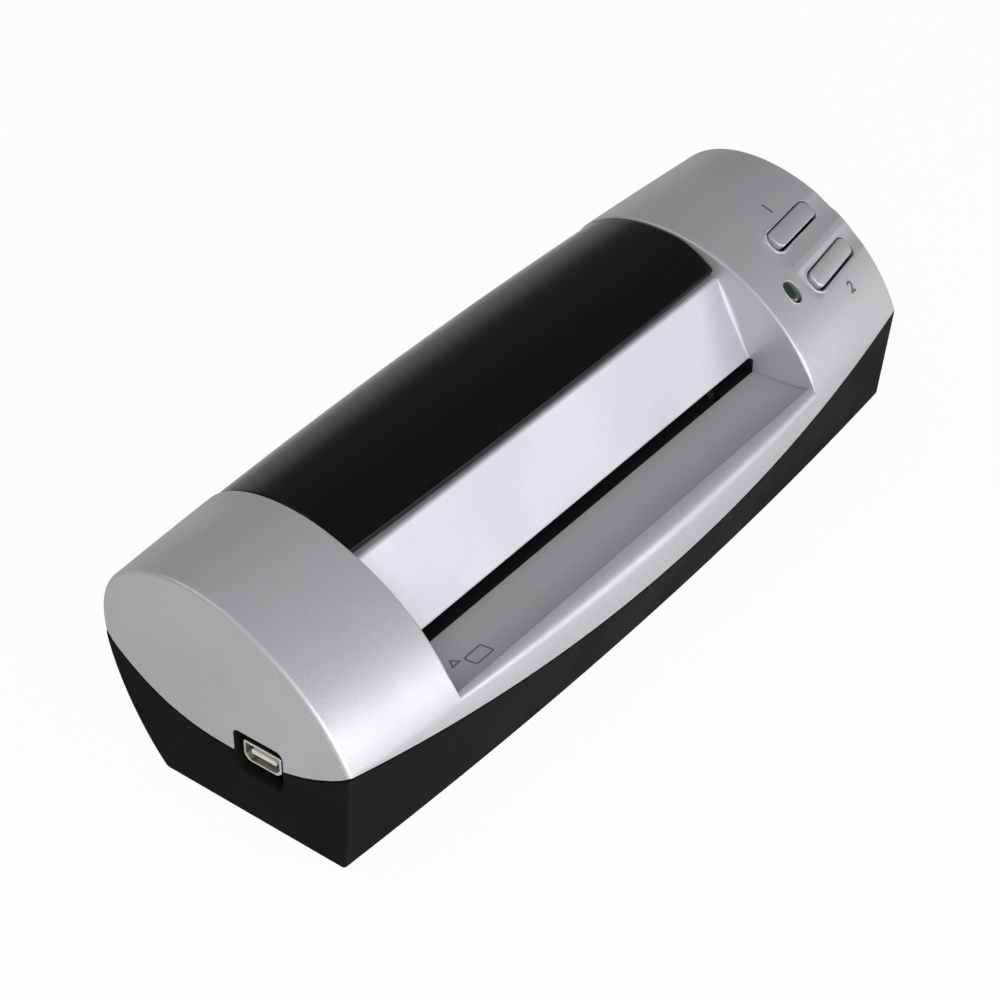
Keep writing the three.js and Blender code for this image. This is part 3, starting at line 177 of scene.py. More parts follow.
def inset_closed(rings: Array, distance: Array | float, least_spread: float = 0.2) -> Array:
    """Each point of closed rings moved inwards along its mitre, so every side moves by the distance.

    Args:
        rings: Closed rings, shape (..., places, 2).
        distance: How far the sides move.
        least_spread: Least divisor of a mitre, which limits it where the ring folds back sharply.

    Returns:
        The moved rings.
    """
    ahead = inward(unit(np.roll(rings, -1, -2) - rings))
    behind = np.roll(ahead, 1, -2)
    spread = 1 + (ahead * behind).sum(-1, keepdims=True)
    return rings + (ahead + behind) * distance / np.maximum(spread, least_spread)


def lengths_along(curves: Array) -> Array:
    """Arc length from the start of each curve to each of its points."""
    steps = np.linalg.norm(np.diff(curves[..., :2], axis=1), axis=2)
    return np.concatenate([np.zeros((len(curves), 1)), np.cumsum(steps, axis=1)], axis=1)


def points_at(curves: Array, lengths: Array, wanted: Array) -> Array:
    """Points at given arc lengths, by straight interpolation between a curve's own points.

    Args:
        curves: Points with any number of channels, shape (stations, samples, channels).
        lengths: Arc length at each sample.
        wanted: Arc lengths asked for, shape (stations, places).

    Returns:
        Points, shape (stations, places, channels).
    """
    place = (lengths[:, None, :] <= wanted[:, :, None]).sum(-1) - 1
    place = np.clip(place, 0, lengths.shape[1] - 2)
    low = np.take_along_axis(lengths, place, 1)
    high = np.take_along_axis(lengths, place + 1, 1)
    share = np.clip((wanted - low) / np.maximum(high - low, NO_SPAN), 0, 1)[..., None]
    before = np.take_along_axis(curves, place[..., None], 1)
    after = np.take_along_axis(curves, place[..., None] + 1, 1)
    return before * (1 - share) + after * share


def first_crossing(values: Array, lengths: Array) -> Array:
    """Arc length where the values along each curve first rise through zero."""
    index = np.maximum(np.argmax(values >= 0, axis=1), 1)
    rows = np.arange(len(values))
    low, high = values[rows, index - 1], values[rows, index]
    share = np.clip(-low / np.where(high == low, 1, high - low), 0, 1)
    return lengths[rows, index - 1] + share * (lengths[rows, index] - lengths[rows, index - 1])


def last_crossing(values: Array, lengths: Array) -> Array:
    """Arc length where the values along each curve last fall through zero."""
    return lengths[:, -1] - first_crossing(values[:, ::-1], lengths[:, -1:] - lengths[:, ::-1])


def soften(rings: Array, corners: dict[int, float], steps: int = 5, side_share: float = 0.95) -> Array:
    """Rounds corners of closed rings: a corner gives way to a quadratic curve that it controls.

    Args:
        rings: Closed rings, shape (stations, places, 2).
        corners: Distance from each corner, by its index, at which its rounding starts.
        steps: Number of spans in each rounding.
        side_share: Share of the shorter side beside a corner that its rounding can take up.

    Returns:
        The rings with their corners rounded.
    """
    parts, start = [], 0
    shares = np.linspace(0, 1, steps + 1)
    count = rings.shape[1]
    for index in sorted(corners):
        corner = rings[:, index]
        before = rings[:, (index - 1) % count] - corner
        after = rings[:, (index + 1) % count] - corner
        sides = np.linalg.norm(np.stack([before, after]), axis=-1, keepdims=True)
        reach = np.minimum(corners[index], sides.min(0) * side_share)
        controls = np.stack([corner + unit(before) * reach, corner, corner + unit(after) * reach], 1)
        parts += [rings[:, start:index], bezier(controls, shares)]
        start = index + 1
    return np.concatenate([*parts, rings[:, start:]], axis=1)


def stand(rings: Array, x: Array) -> Array:
    """Rings of (y, z) stood up at their own places along X, as points in space."""
    spread = np.broadcast_to(np.asarray(x, float).reshape(len(rings), -1), rings.shape[:2])
    return np.concatenate([spread[..., None], rings[..., :2]], axis=-1)


def quarter(steps: int) -> tuple[Array, Array]:
    """Insets and setbacks of a rounded edge of radius one: one less the sine and cosine of its angle."""
    angle = np.linspace(0, math.pi / 2, steps + 1)
    return 1 - np.sin(angle), 1 - np.cos(angle)


def rounded_rectangle(length: float, width: float, corner: float, steps: int = 8) -> Array:
    """Outline of a rectangle with quarter circles for corners, counterclockwise in its own plane."""
    angle = np.linspace(0, math.pi / 2, steps + 1)
    turns = np.concatenate([angle + i * math.pi / 2 for i in range(4)])
    sign_x = np.repeat([1, -1, -1, 1], steps + 1)
    sign_y = np.repeat([1, 1, -1, -1], steps + 1)
    return np.stack([
        sign_x * (length / 2 - corner) + corner * np.cos(turns),
        sign_y * (width / 2 - corner) + corner * np.sin(turns),
    ], -1)


def oval(half_width: float, half_length: float, count: int = 48, fullness: float = 2.0) -> Array:
    """Outline of an ellipse, or of a fuller oval, counterclockwise in its own plane.

    Each coordinate is its half size times the sine or cosine raised to two over the fullness.
    """
    angle = np.linspace(0, 2 * math.pi, count, endpoint=False)
    ring = np.stack([np.cos(angle), np.sin(angle)], -1)
    return np.sign(ring) * np.abs(ring) ** (2 / fullness) * [half_width, half_length]


def refine(ring: Array, step: float, decimals: int = 3) -> Array:
    """A closed outline with points added along its sides, at most a step apart.

    Args:
        ring: The outline's corners, shape (count, 2).
        step: Longest distance between two points.
        decimals: Decimals that lengths are rounded to, so points that fall together merge.

    Returns:
        The finer outline.
    """
    closed = np.concatenate([ring, ring[:1]])
    lengths = np.concatenate([[0], np.cumsum(np.linalg.norm(np.diff(closed, axis=0), axis=1))])
    even = np.arange(0, lengths[-1] - step / 2, step)
    wanted = np.unique(np.round(np.concatenate([lengths[:-1], even]), decimals))
    return np.stack([np.interp(wanted, lengths, closed[:, axis]) for axis in range(2)], -1)


# Making meshes

def link(name: str, data: bpy.types.ID) -> Thing:
    """A new object in the scene that shows the data."""
    thing = bpy.data.objects.new(name, data)
    bpy.context.scene.collection.objects.link(thing)
    return thing


def evaluated_mesh(thing: Thing) -> bpy.types.Mesh:
    """A new mesh of an object as its modifiers or its letters make it."""
    bpy.context.view_layer.update()
    shaped = thing.evaluated_get(bpy.context.evaluated_depsgraph_get())
    return bpy.data.meshes.new_from_object(shaped)


def read(items: bpy.types.bpy_prop_collection, name: str, kind: type = np.float32, width: int = 1) -> Array:
    """One property of every item, with a row for each item where the property has more than one value."""
    values = np.empty(len(items) * width, kind)
    items.foreach_get(name, values)
    return values if width == 1 else values.reshape(-1, width)


def middle_of(node: str) -> Span:
    """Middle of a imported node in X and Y, in millimetres on the case's axes."""
    low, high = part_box(node)
    centre = (low + high) / 2 / METRES
    return centre.x, centre.y - DEPTH_SHIFT


@dataclass
class Workshop:
    """Makes meshes from grids of points, cuts them with each other and delivers finished pieces."""

    weld: float = 0.0005
    sharp_degrees: float = 38.0
    broad_area: float = 150.0
    broad_square_area: float = 40.0
    square: float = 0.9995
    least_area: float = 1e-9
    edge_steps: int = 4
    upright_sides: int = 64
    lying_sides: int = 48

    def solid(self, name: str, points: Array, faces: list[list[int]]) -> Thing:
        """Closed mesh object in millimetres, with its faces pointing outwards.

        Args:
            name: Name of the object.
            points: Corner points, shape (count, 3).
            faces: Corner numbers of each face.

        Returns:
            The new object.
        """
        mesh = bpy.data.meshes.new(name)
        mesh.from_pydata(np.asarray(points, float).reshape(-1, 3).tolist(), [], faces)
        return self.closed(name, mesh)

    def closed(self, name: str, mesh: bpy.types.Mesh) -> Thing:
        """Object of a mesh whose doubles are merged and whose faces point outwards."""
        work = bmesh.new()
        work.from_mesh(mesh)
        bmesh.ops.remove_doubles(work, verts=work.verts, dist=self.weld)
        bmesh.ops.dissolve_degenerate(work, edges=work.edges, dist=self.weld / 2)
        if work.calc_volume(signed=True) < 0:
            bmesh.ops.reverse_faces(work, faces=work.faces)
        work.to_mesh(mesh)
        work.free()
        return link(name, mesh)

    @staticmethod
    def quads(near: Array, far: Array) -> list[list[int]]:
        """Quads that join rings of point numbers to their next rings."""
        return np.stack([near, np.roll(near, -1, 1), np.roll(far, -1, 1), far], -1).reshape(-1, 4).tolist()

    def loft(self, name: str, rings: Array) -> Thing:
        """Closed skin over rings of points: quads join each to the next, and both ends are flat."""
        index = np.arange(rings.shape[0] * rings.shape[1]).reshape(rings.shape[:2])
        ends = [index[0][::-1].tolist(), index[-1].tolist()]
        return self.solid(name, rings, self.quads(index[:-1], index[1:]) + ends)

    def hoop(self, name: str, rings: Array) -> Thing:
        """Closed skin over rings of points: quads join each to the next, and the last to the first."""
        index = np.arange(rings.shape[0] * rings.shape[1]).reshape(rings.shape[:2])
        return self.solid(name, rings, self.quads(index, np.roll(index, -1, 0)))

    def prism_x(self, name: str, ring: Array, span: Span, edge: float = 0.0) -> Thing:
        """An outline in (y, z) run along X, with its end edges rounded by insetting the outline."""
        low, high = span
        if edge <= 0:
            return self.loft(name, stand(np.stack([ring, ring]), np.array([low, high])))
        insets, setbacks = quarter(self.edge_steps)
        rings = [inset_closed(ring, edge * inset) for inset in insets]
        x = np.concatenate([low + edge * setbacks, high - edge * setbacks[::-1]])
        return self.loft(name, stand(np.stack(rings + rings[::-1]), x))

    def box(self, name: str, x: Span, y: Span, z: Span) -> Thing:
        """A plain block, used to cut with or as a small hidden part of a piece."""
        ring = np.array([[y[0], z[0]], [y[0], z[1]], [y[1], z[1]], [y[1], z[0]]], float)
        return self.prism_x(name, ring, x)

    def rod_z(self, name: str, middle: Span, z: Span, radius: float) -> Thing:
        """A round rod that stands along Z: the same circle at both heights."""
        circle = oval(radius, radius, self.upright_sides) + np.asarray(middle)
        rings = np.stack([np.column_stack([circle, np.full(len(circle), height)]) for height in z])
        return self.loft(name, rings)

    def rod_x(self, name: str, middle: Span, x: Span, radius: float) -> Thing:
        """A round rod that lies along X: the same circle at both places."""
        circle = oval(radius, radius, self.lying_sides)[::-1] + np.asarray(middle)
        return self.prism_x(name, circle, x)

    def change(self, thing: Thing, how: Cut, *others: Thing) -> Thing:
        """Cuts, keeps or joins solids with an exact boolean, and removes the solids that it used up.

        Args:
            thing: The solid that changes.
            how: What the others do to it.
            others: Solids that are used up.

        Returns:
            The changed solid.
        """
        for other in others:
            modifier = thing.modifiers.new("shape", "BOOLEAN")
            modifier.operation = how.value
            modifier.solver = "MANIFOLD"
            modifier.object = other
        mesh = evaluated_mesh(thing)
        thing.modifiers.clear()
        old, thing.data = thing.data, mesh
        bpy.data.meshes.remove(old)
        for other in others:
            bpy.data.objects.remove(other)
        return thing

    def gather(self, name: str, *things: Thing) -> Thing:
        """One object that holds the meshes of several, side by side."""
        work = bmesh.new()
        for thing in things:
            work.from_mesh(thing.data)
        mesh = bpy.data.meshes.new(name)
        work.to_mesh(mesh)
        work.free()
        for thing in things:
            bpy.data.objects.remove(thing)
        return link(name, mesh)

    def twin(self, name: str, thing: Thing) -> Thing:
        """A second solid with the same points and faces."""
        faces = [list(face.vertices) for face in thing.data.polygons]
        return self.solid(name, read(thing.data.vertices, "co", width=3), faces)

    def copy_node(self, node: str) -> Thing:
        """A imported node's mesh as one closed solid in millimetres on the case's axes."""
        mesh = frame["nodes"][node].data.copy()
        mesh.transform(self.placement().inverted())
        return self.closed(node + "_copy", mesh)

    @staticmethod
    def placement() -> Matrix:
        """Matrix from millimetres on the case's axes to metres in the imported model's frame."""
        shift = Matrix.Translation(Vector((0, DEPTH_SHIFT, FOOT_STAND)) * METRES)
        return shift @ Matrix.Scale(METRES, 4)

    def deliver(self, thing: Thing, name: str, slot: str, *nodes: str, body: str = "housing",
                finish: str = "") -> Thing:
        """Finishes a piece: shades it, places it in the frame, and says what it rides on and replaces.

        Args:
            thing: The piece, in millimetres on the case's axes.
            name: Name of the finished piece.
            slot: Material slot of the record that its finish comes from.
            nodes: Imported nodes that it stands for.
            body: Body that it rides on.
            finish: Name of its finish, where it isn't the slot's own.

        Returns:
            The finished piece.
        """
        thing.name = name
        thing.data.name = name
        thing.data.materials.clear()
        self.split(thing.data)
        self.shade(thing.data)
        thing.data.transform(self.placement())
        thing.data.materials.append(FINISHES[finish or slot].material())
        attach(thing, body)
        if nodes:
            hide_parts(*nodes)
        log.info("%s: %d faces, rides on %s", name, len(thing.data.polygons), body)
        return thing

    @staticmethod
    def split(mesh: bpy.types.Mesh) -> None:
        """Splits faces of more than four corners into triangles that keep the area of the whole face."""
        work = bmesh.new()
        work.from_mesh(mesh)
        whole = work.faces.layers.float.new("whole_area")
        for face in work.faces:
            face[whole] = face.calc_area()
        large = [face for face in work.faces if len(face.verts) > 4]
        bmesh.ops.triangulate(work, faces=large, ngon_method="BEAUTY")
        work.to_mesh(mesh)
        work.free()

    def shade(self, mesh: bpy.types.Mesh) -> None:
        """Smooth shading by angle and area.

        A corner's normal is the sum of the normals of the faces round its point that lie within the sharp
        angle of the corner's own face. Each is weighted by the area of the whole face that it was split
        from. Corners of a face that looks straight along X, of a fairly broad one that looks along any axis,
        and of a broad one keep its own normal.
        """
        mesh.polygons.foreach_set("use_smooth", np.ones(len(mesh.polygons), bool))
        loops = len(mesh.loops)
        point = read(mesh.loops, "vertex_index", np.int32)
        sizes = read(mesh.polygons, "loop_total", np.int32)
        face = np.repeat(np.arange(len(sizes)), sizes)
        normals = read(mesh.polygons, "normal", width=3).astype(float)
        areas = read(mesh.attributes["whole_area"].data, "value")
        mesh.attributes.remove(mesh.attributes["whole_area"])
        order = np.argsort(point, kind="stable")
        ends = np.searchsorted(point[order], np.arange(len(mesh.vertices) + 1))
        valence = np.diff(ends)[point]
        owner = np.repeat(np.arange(loops), valence)
        offset = np.arange(len(owner)) - np.repeat(np.cumsum(valence) - valence, valence)
        other = order[ends[point[owner]] + offset]
        limit = math.cos(math.radians(self.sharp_degrees))
        near = (normals[face[owner]] * normals[face[other]]).sum(1) > limit
        weight = (areas[face[other]] + self.least_area) * near
        total = np.stack([
            np.bincount(owner, weight * normals[face[other], axis], loops) for axis in range(3)
        ], -1)
        straight = np.abs(normals) > self.square
        flat = straight[:, 0] | ((areas > self.broad_square_area) & straight.any(1))
        flat = (flat | (areas > self.broad_area))[face]
        total[flat] = normals[face[flat]]
        mesh.normals_split_custom_set(unit(total).tolist())


workshop = Workshop()


# Outer form of the case

@dataclass(frozen=True)
class CaseForm:
    """Outer form of the case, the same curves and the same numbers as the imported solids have."""

    half_length: float = 79.0
    half_depth: float = 29.2
    front_setback: float = 4.87
    back_setback: float = 3.37
    shoulder: float = 20.3
    shoulder_lean: float = 1.37
    back_height: float = 23.6
    back_tuck: float = 10.85
    foot_lean_corner: float = 1.93
    foot_lean_middle: float = 3.92
    front_handle: Span = (12.0, 27.2)
    back_handle: Span = (3.0, 25.5)
    back_drops: Span = (7.6, 17.6)
    back_tuck_shares: Span = (0.08, 0.49)
    dip_front: float = 7.27
    dip_back: float = 9.5
    parting_height: float = 12.9
    parting_power: float = 2.4
    wall: float = 1.8
    fit: float = 0.3
    skin: float = 0.03
    samples: tuple[int, ...] = (24, 40, 400, 160)
    room_stations: int = 24
    room_points: int = 150

    def bow(self, x: Array) -> Array:
        """How far a station is towards the middle: one less the square of its share of the half length."""
        return 1 - (np.asarray(x, float) / self.half_length) ** 2

    def front_y(self, x: Array) -> Array:
        """Depth of the front edge, set back towards the ends by the bow."""
        return self.front_setback * (1 - self.bow(x)) - self.half_depth

    def back_y(self, x: Array) -> Array:
        """Depth of the back edge, set back towards the ends by the bow."""
        return self.half_depth - self.back_setback * (1 - self.bow(x))

    def sheet(self, x: Array, y: Array, offset: float = 0.0) -> Array:
        """Height of the sheet between the shells: it rises as a power of the depth and sags by the bow."""
        x, y = np.broadcast_arrays(np.asarray(x, float), np.asarray(y, float))
        front = y < 0
        edge = np.where(front, -self.front_y(x), self.back_y(x))
        corner = np.where(front, self.shoulder, self.back_height)
        dip = np.where(front, self.dip_front, self.dip_back)
        rise = np.abs(y / edge) ** self.parting_power
        height = self.parting_height + (corner - self.parting_height) * rise
        return height - (self.dip_front + (dip - self.dip_front) * rise) * self.bow(x) + offset

    def arch_controls(self, x: Array) -> Array:
        """Controls of the arch's cubic curve at each station."""
        x = np.atleast_1d(np.asarray(x, float))
        edge = self.front_y(x) + self.shoulder_lean * self.bow(x)
        front = np.stack([edge, np.full(x.shape, self.shoulder)], -1)
        back = np.stack([self.back_y(x), np.full(x.shape, self.back_height)], -1)
        return np.stack([front, front + self.front_handle, back + self.back_handle, back], 1)

    def arch(self, x: Array, shares: Array, inset: Array | float = 0.0) -> Array:
        """Points of the arch at given shares of it, moved inwards by an inset for each share.

        The curve's slope is the Bezier curve of its controls' differences.
        """
        controls = self.arch_controls(x)
        shares = np.asarray(shares, float)
        points = bezier(controls, shares)
        slopes = bezier(np.diff(controls, axis=1) * 3, shares)
        return points + inward(unit(slopes)) * np.broadcast_to(inset, shares.shape)[None, :, None]

    def curve(self, x: Array) -> Array:
        """The case's section from the front foot over the top to the back foot.

        The third channel counts along it: below 0 on the front, 0 to 1 on the arch and above 1 on the back.

        Args:
            x: Stations along the case.

        Returns:
            Points, shape (stations, samples, 3).
        """
        x = np.atleast_1d(np.asarray(x, float))
        bow = self.bow(x)
        lean = self.foot_lean_corner * (1 - bow) + self.foot_lean_middle * bow
        foot = np.stack([self.front_y(x) + lean, 0 * x], -1)
        start = np.stack([self.front_y(x), self.shoulder - self.dip_front * bow], -1)
        arch = self.arch_controls(x)
        middle = (start[:, 1] + self.shoulder) / 2
        run = (self.shoulder - middle) * self.front_handle[0] / self.front_handle[1]
        guide = np.stack([arch[:, 0, 0] - run, middle], -1)
        back = arch[:, 3]
        drops = [back - np.array([self.back_tuck * share, drop])
                 for share, drop in zip(self.back_tuck_shares, self.back_drops)]
        end = np.stack([back[:, 0] - self.back_tuck, 0 * x], -1)
        pieces = ([foot, start], [start, guide, arch[:, 0]], [*arch.swapaxes(0, 1)], [back, *drops, end])
        parts = []
        for base, (controls, count) in enumerate(zip(pieces, self.samples), -2):
            shares = np.linspace(0, 1, count + 1)[(1 if parts else 0):]
            points = bezier(np.stack(controls, 1), shares)
            tags = np.broadcast_to(base + shares, points.shape[:2])
            parts.append(np.concatenate([points, tags[..., None]], -1))
        return inset_open(np.concatenate(parts, axis=1), self.skin)

    def skin_between(self, x: Array, start: Edge, stop: Edge | Array | float, count: int,
                     offset: float = 0.0) -> Array:
        """Evenly spaced points of the case's skin between two places.

        Args:
            x: Stations along the case.
            start: Where the points start.
            stop: Where they stop: an edge, or a height on the front side, for all stations or for each.
            count: Number of points.
            offset: How far the seam lies above the sheet.

        Returns:
            Points with their channel along the section, shape (stations, count, 3).
        """
        x = np.atleast_1d(np.asarray(x, float))
        curve = self.curve(x)
        lengths = lengths_along(curve)
        above = curve[..., 1] - self.sheet(x[:, None], curve[..., 0], offset)
        edges = {
            Edge.FRONT_FOOT: np.zeros(len(x)),
            Edge.FRONT_SEAM: first_crossing(above, lengths),
            Edge.BACK_SEAM: last_crossing(above, lengths),
            Edge.BACK_FOOT: lengths[:, -1],
        }
        low = edges[start]
        if isinstance(stop, Edge):
            high = edges[stop]
        else:
            high = first_crossing(curve[..., 1] - np.asarray(stop, float).reshape(-1, 1), lengths)
        spread = np.linspace(0, 1, count)
        return points_at(curve, lengths, low[:, None] + (high - low)[:, None] * spread)

    def closed_section(self, x: Array, inset: float, low: float, high: float) -> Array:
        """The whole section moved inwards and held between two heights, as closed rings."""
        curve = self.curve(x)
        lengths = lengths_along(curve)
        points = points_at(curve, lengths, lengths[:, -1:] * np.linspace(0, 1, self.room_points))
        ring = inset_open(points, inset)[..., :2]
        ring[..., 1] = np.clip(ring[..., 1], low, high)
        return ring

    def room(self, name: str, span: Span, inset: float, low: float = -6.0, high: float = 90.0) -> Thing:
        """A solid that fills the case's inside between two stations and two heights."""
        x = np.linspace(*span, self.room_stations)
        ring = self.closed_section(x, inset, low, high)
        if low < 0:
            dropped = [ring[:, place] * [1, 0] + [0, low] for place in (slice(-1, None), slice(0, 1))]
            ring = np.concatenate([ring, *dropped], 1)
        return workshop.loft(name, stand(ring, x))


case = CaseForm()


@dataclass(frozen=True)
class Recess:
    """The card recess in the top shell and the fittings in it."""

    left: float = -54.6994
    right: float = 47.2106
    rim_inner: float = -25.1
    rim_top: float = 20.5
    floor: float = 19.4
    slot_top: float = 21.1
    bulkhead_bottom: float = 18.9
    panel_front: float = 0.357
    panel_back: float = 0.86
    panel_bed: float = 0.392
    panel_recess: float = 0.3
    lip_drop: float = 2.0
    lip_share: float = 0.11
    lip_power: float = 1.5
    panel_thickness: float = 1.5

    def bed_inset(self, shares: Array, extra: float) -> Array:
        """Depth of the panel's bed under the skin: a power curve that sinks to the panel's front lip."""
        sink = np.clip((self.panel_front + self.lip_share - shares) / self.lip_share, 0, 1)
        return self.panel_recess + self.lip_drop * sink**self.lip_power + extra

    @property
    def middle(self) -> float:
        """Station halfway along the recess."""
        return (self.left + self.right) / 2


recess = Recess()


# The tilted frame of the buttons

@dataclass(frozen=True)
class Slope:
    """The tilted plane that the buttons and their board lie along."""

    tilt: float = math.radians(38.0)
    samples: int = 500

    @property
    def along(self) -> Array:
        """Direction up the slope."""
        return np.array([0, math.cos(self.tilt), math.sin(self.tilt)])

    @property
    def out(self) -> Array:
        """Direction out of the slope."""
        return np.array([0, -math.sin(self.tilt), math.cos(self.tilt)])

    def seen(self, y: Array, z: Array) -> tuple[Array, Array]:
        """Climb and rise of places given by depth and height."""
        return y * self.along[1] + z * self.along[2], y * self.out[1] + z * self.out[2]

    def rise_of_skin(self, x: Array, climb: Array) -> Array:
        """Height of the case's skin over the slope, looked up on the arch at each place's own station."""
        x, climb = np.broadcast_arrays(np.asarray(x, float), np.asarray(climb, float))
        points = case.arch(x.ravel(), np.linspace(0, 1, self.samples), case.skin)
        climbs, rises = self.seen(points[..., 0], points[..., 1])
        place = np.clip((climbs < climb.ravel()[:, None]).sum(1), 1, climbs.shape[1] - 1)
        rows = np.arange(len(place))
        low, high = climbs[rows, place - 1], climbs[rows, place]
        share = (climb.ravel() - low) / np.maximum(high - low, NO_SPAN)
        return (rises[rows, place - 1] * (1 - share) + rises[rows, place] * share).reshape(x.shape)

    def space(self, x: Array, climb: Array, rise: Array) -> Array:
        """Points in space of places given along X, up the slope and out of it."""
        x, climb, rise = np.broadcast_arrays(x, climb, rise)
        y = climb * self.along[1] + rise * self.out[1]
        z = climb * self.along[2] + rise * self.out[2]
        return np.stack([x, y, z], -1)


slope = Slope()


@dataclass(frozen=True)
class ButtonPlace:
    """Where one button sits, and the shallow scoop round it."""

    name: str
    x: float
    climb: float
    turn: float
    scoop_radius: float = 11.0
    scoop_depth: float = 0.55
    scoop_tilt: float = math.radians(1.6)
    scoop_start: float = 8.3
    start_stretch: float = 2.2
    scoop_cover: float = 0.8
    scoop_away: float = 5.0
    blend: float = 0.05

    def outline(self, shape: Array) -> tuple[Array, Array]:
        """An outline round the button's middle, turned with it, as stations and climbs."""
        cos, sin = math.cos(self.turn), math.sin(self.turn)
        along, across = shape[..., 0], shape[..., 1]
        return self.x + along * cos - across * sin, self.climb + along * sin + across * cos

    def scooped(self, x: Array, climb: Array, rise: Array) -> Array:
        """Rise of a surface once the scoop is sunk in it.

        The scoop is the underside of a lying cylinder with a ball-shaped start, joined to the surface by a
        smooth minimum: half the sum, less half the root of the squared difference plus the squared blend.
        Past its own width the scoop counts as lying clear above the surface.
        """
        away = np.stack([x - self.x, climb - self.climb], -1)
        cos, sin = math.cos(self.turn), math.sin(self.turn)
        run = away[..., 0] * cos + away[..., 1] * sin
        side = -away[..., 0] * sin + away[..., 1] * cos
        before = np.maximum(0, -self.scoop_start - run)
        reach = np.sqrt(side**2 + (self.start_stretch * before) ** 2)
        centre = slope.rise_of_skin(self.x, self.climb) + self.scoop_radius - self.scoop_depth
        hollow = np.sqrt(np.maximum(self.scoop_radius**2 - reach**2, 0))
        floor = centre - math.tan(self.scoop_tilt) * run - hollow
        floor = np.where(reach < self.scoop_radius * self.scoop_cover, floor, rise + self.scoop_away)
        return (rise + floor - np.sqrt((rise - floor) ** 2 + self.blend**2)) / 2

    def skin(self, shape: Array, lift: Array) -> Array:
        """Points of the scooped skin under an outline round the button, raised by a lift."""
        x, climb = self.outline(shape)
        return slope.space(x, climb, self.scooped(x, climb, slope.rise_of_skin(x, climb)) + lift)


BUTTONS = (
    ButtonPlace("button_1", 67.387, 17.4899, math.radians(5)),
    ButtonPlace("button_2", 68.1928, 7.5899, math.radians(7)),
)
LENS = ButtonPlace("status_lens", 54.905, 7.9899, 0.0)


def slope_prism(name: str, place: ButtonPlace, shape: Array, low: float, high: float) -> Thing:
    """An outline round a button's place, run straight out of the slope between two rises."""
    x, climb = place.outline(shape)
    return workshop.loft(name, np.stack([slope.space(x, climb, low), slope.space(x, climb, high)]))


def bead(name: str, path: Array, radius: Array, sides: int = 10) -> Thing:
    """A thin round bead along a closed path: circles square to the path's own direction.

    Args:
        name: Name of the object.
        path: Points of the closed path, shape (count, 3).
        radius: Radius of the bead at each point.
        sides: Points in each circle.

    Returns:
        The bead.
    """
    ahead = unit(np.roll(path, -1, 0) - np.roll(path, 1, 0))
    side = unit(np.cross(ahead, slope.out))
    up = np.cross(side, ahead)
    angle = np.linspace(0, 2 * math.pi, sides, endpoint=False)
    circle = np.cos(angle)[None, :, None] * side[:, None] + np.sin(angle)[None, :, None] * up[:, None]
    return workshop.hoop(name, path[:, None] + radius[:, None, None] * circle)


# Outer pieces

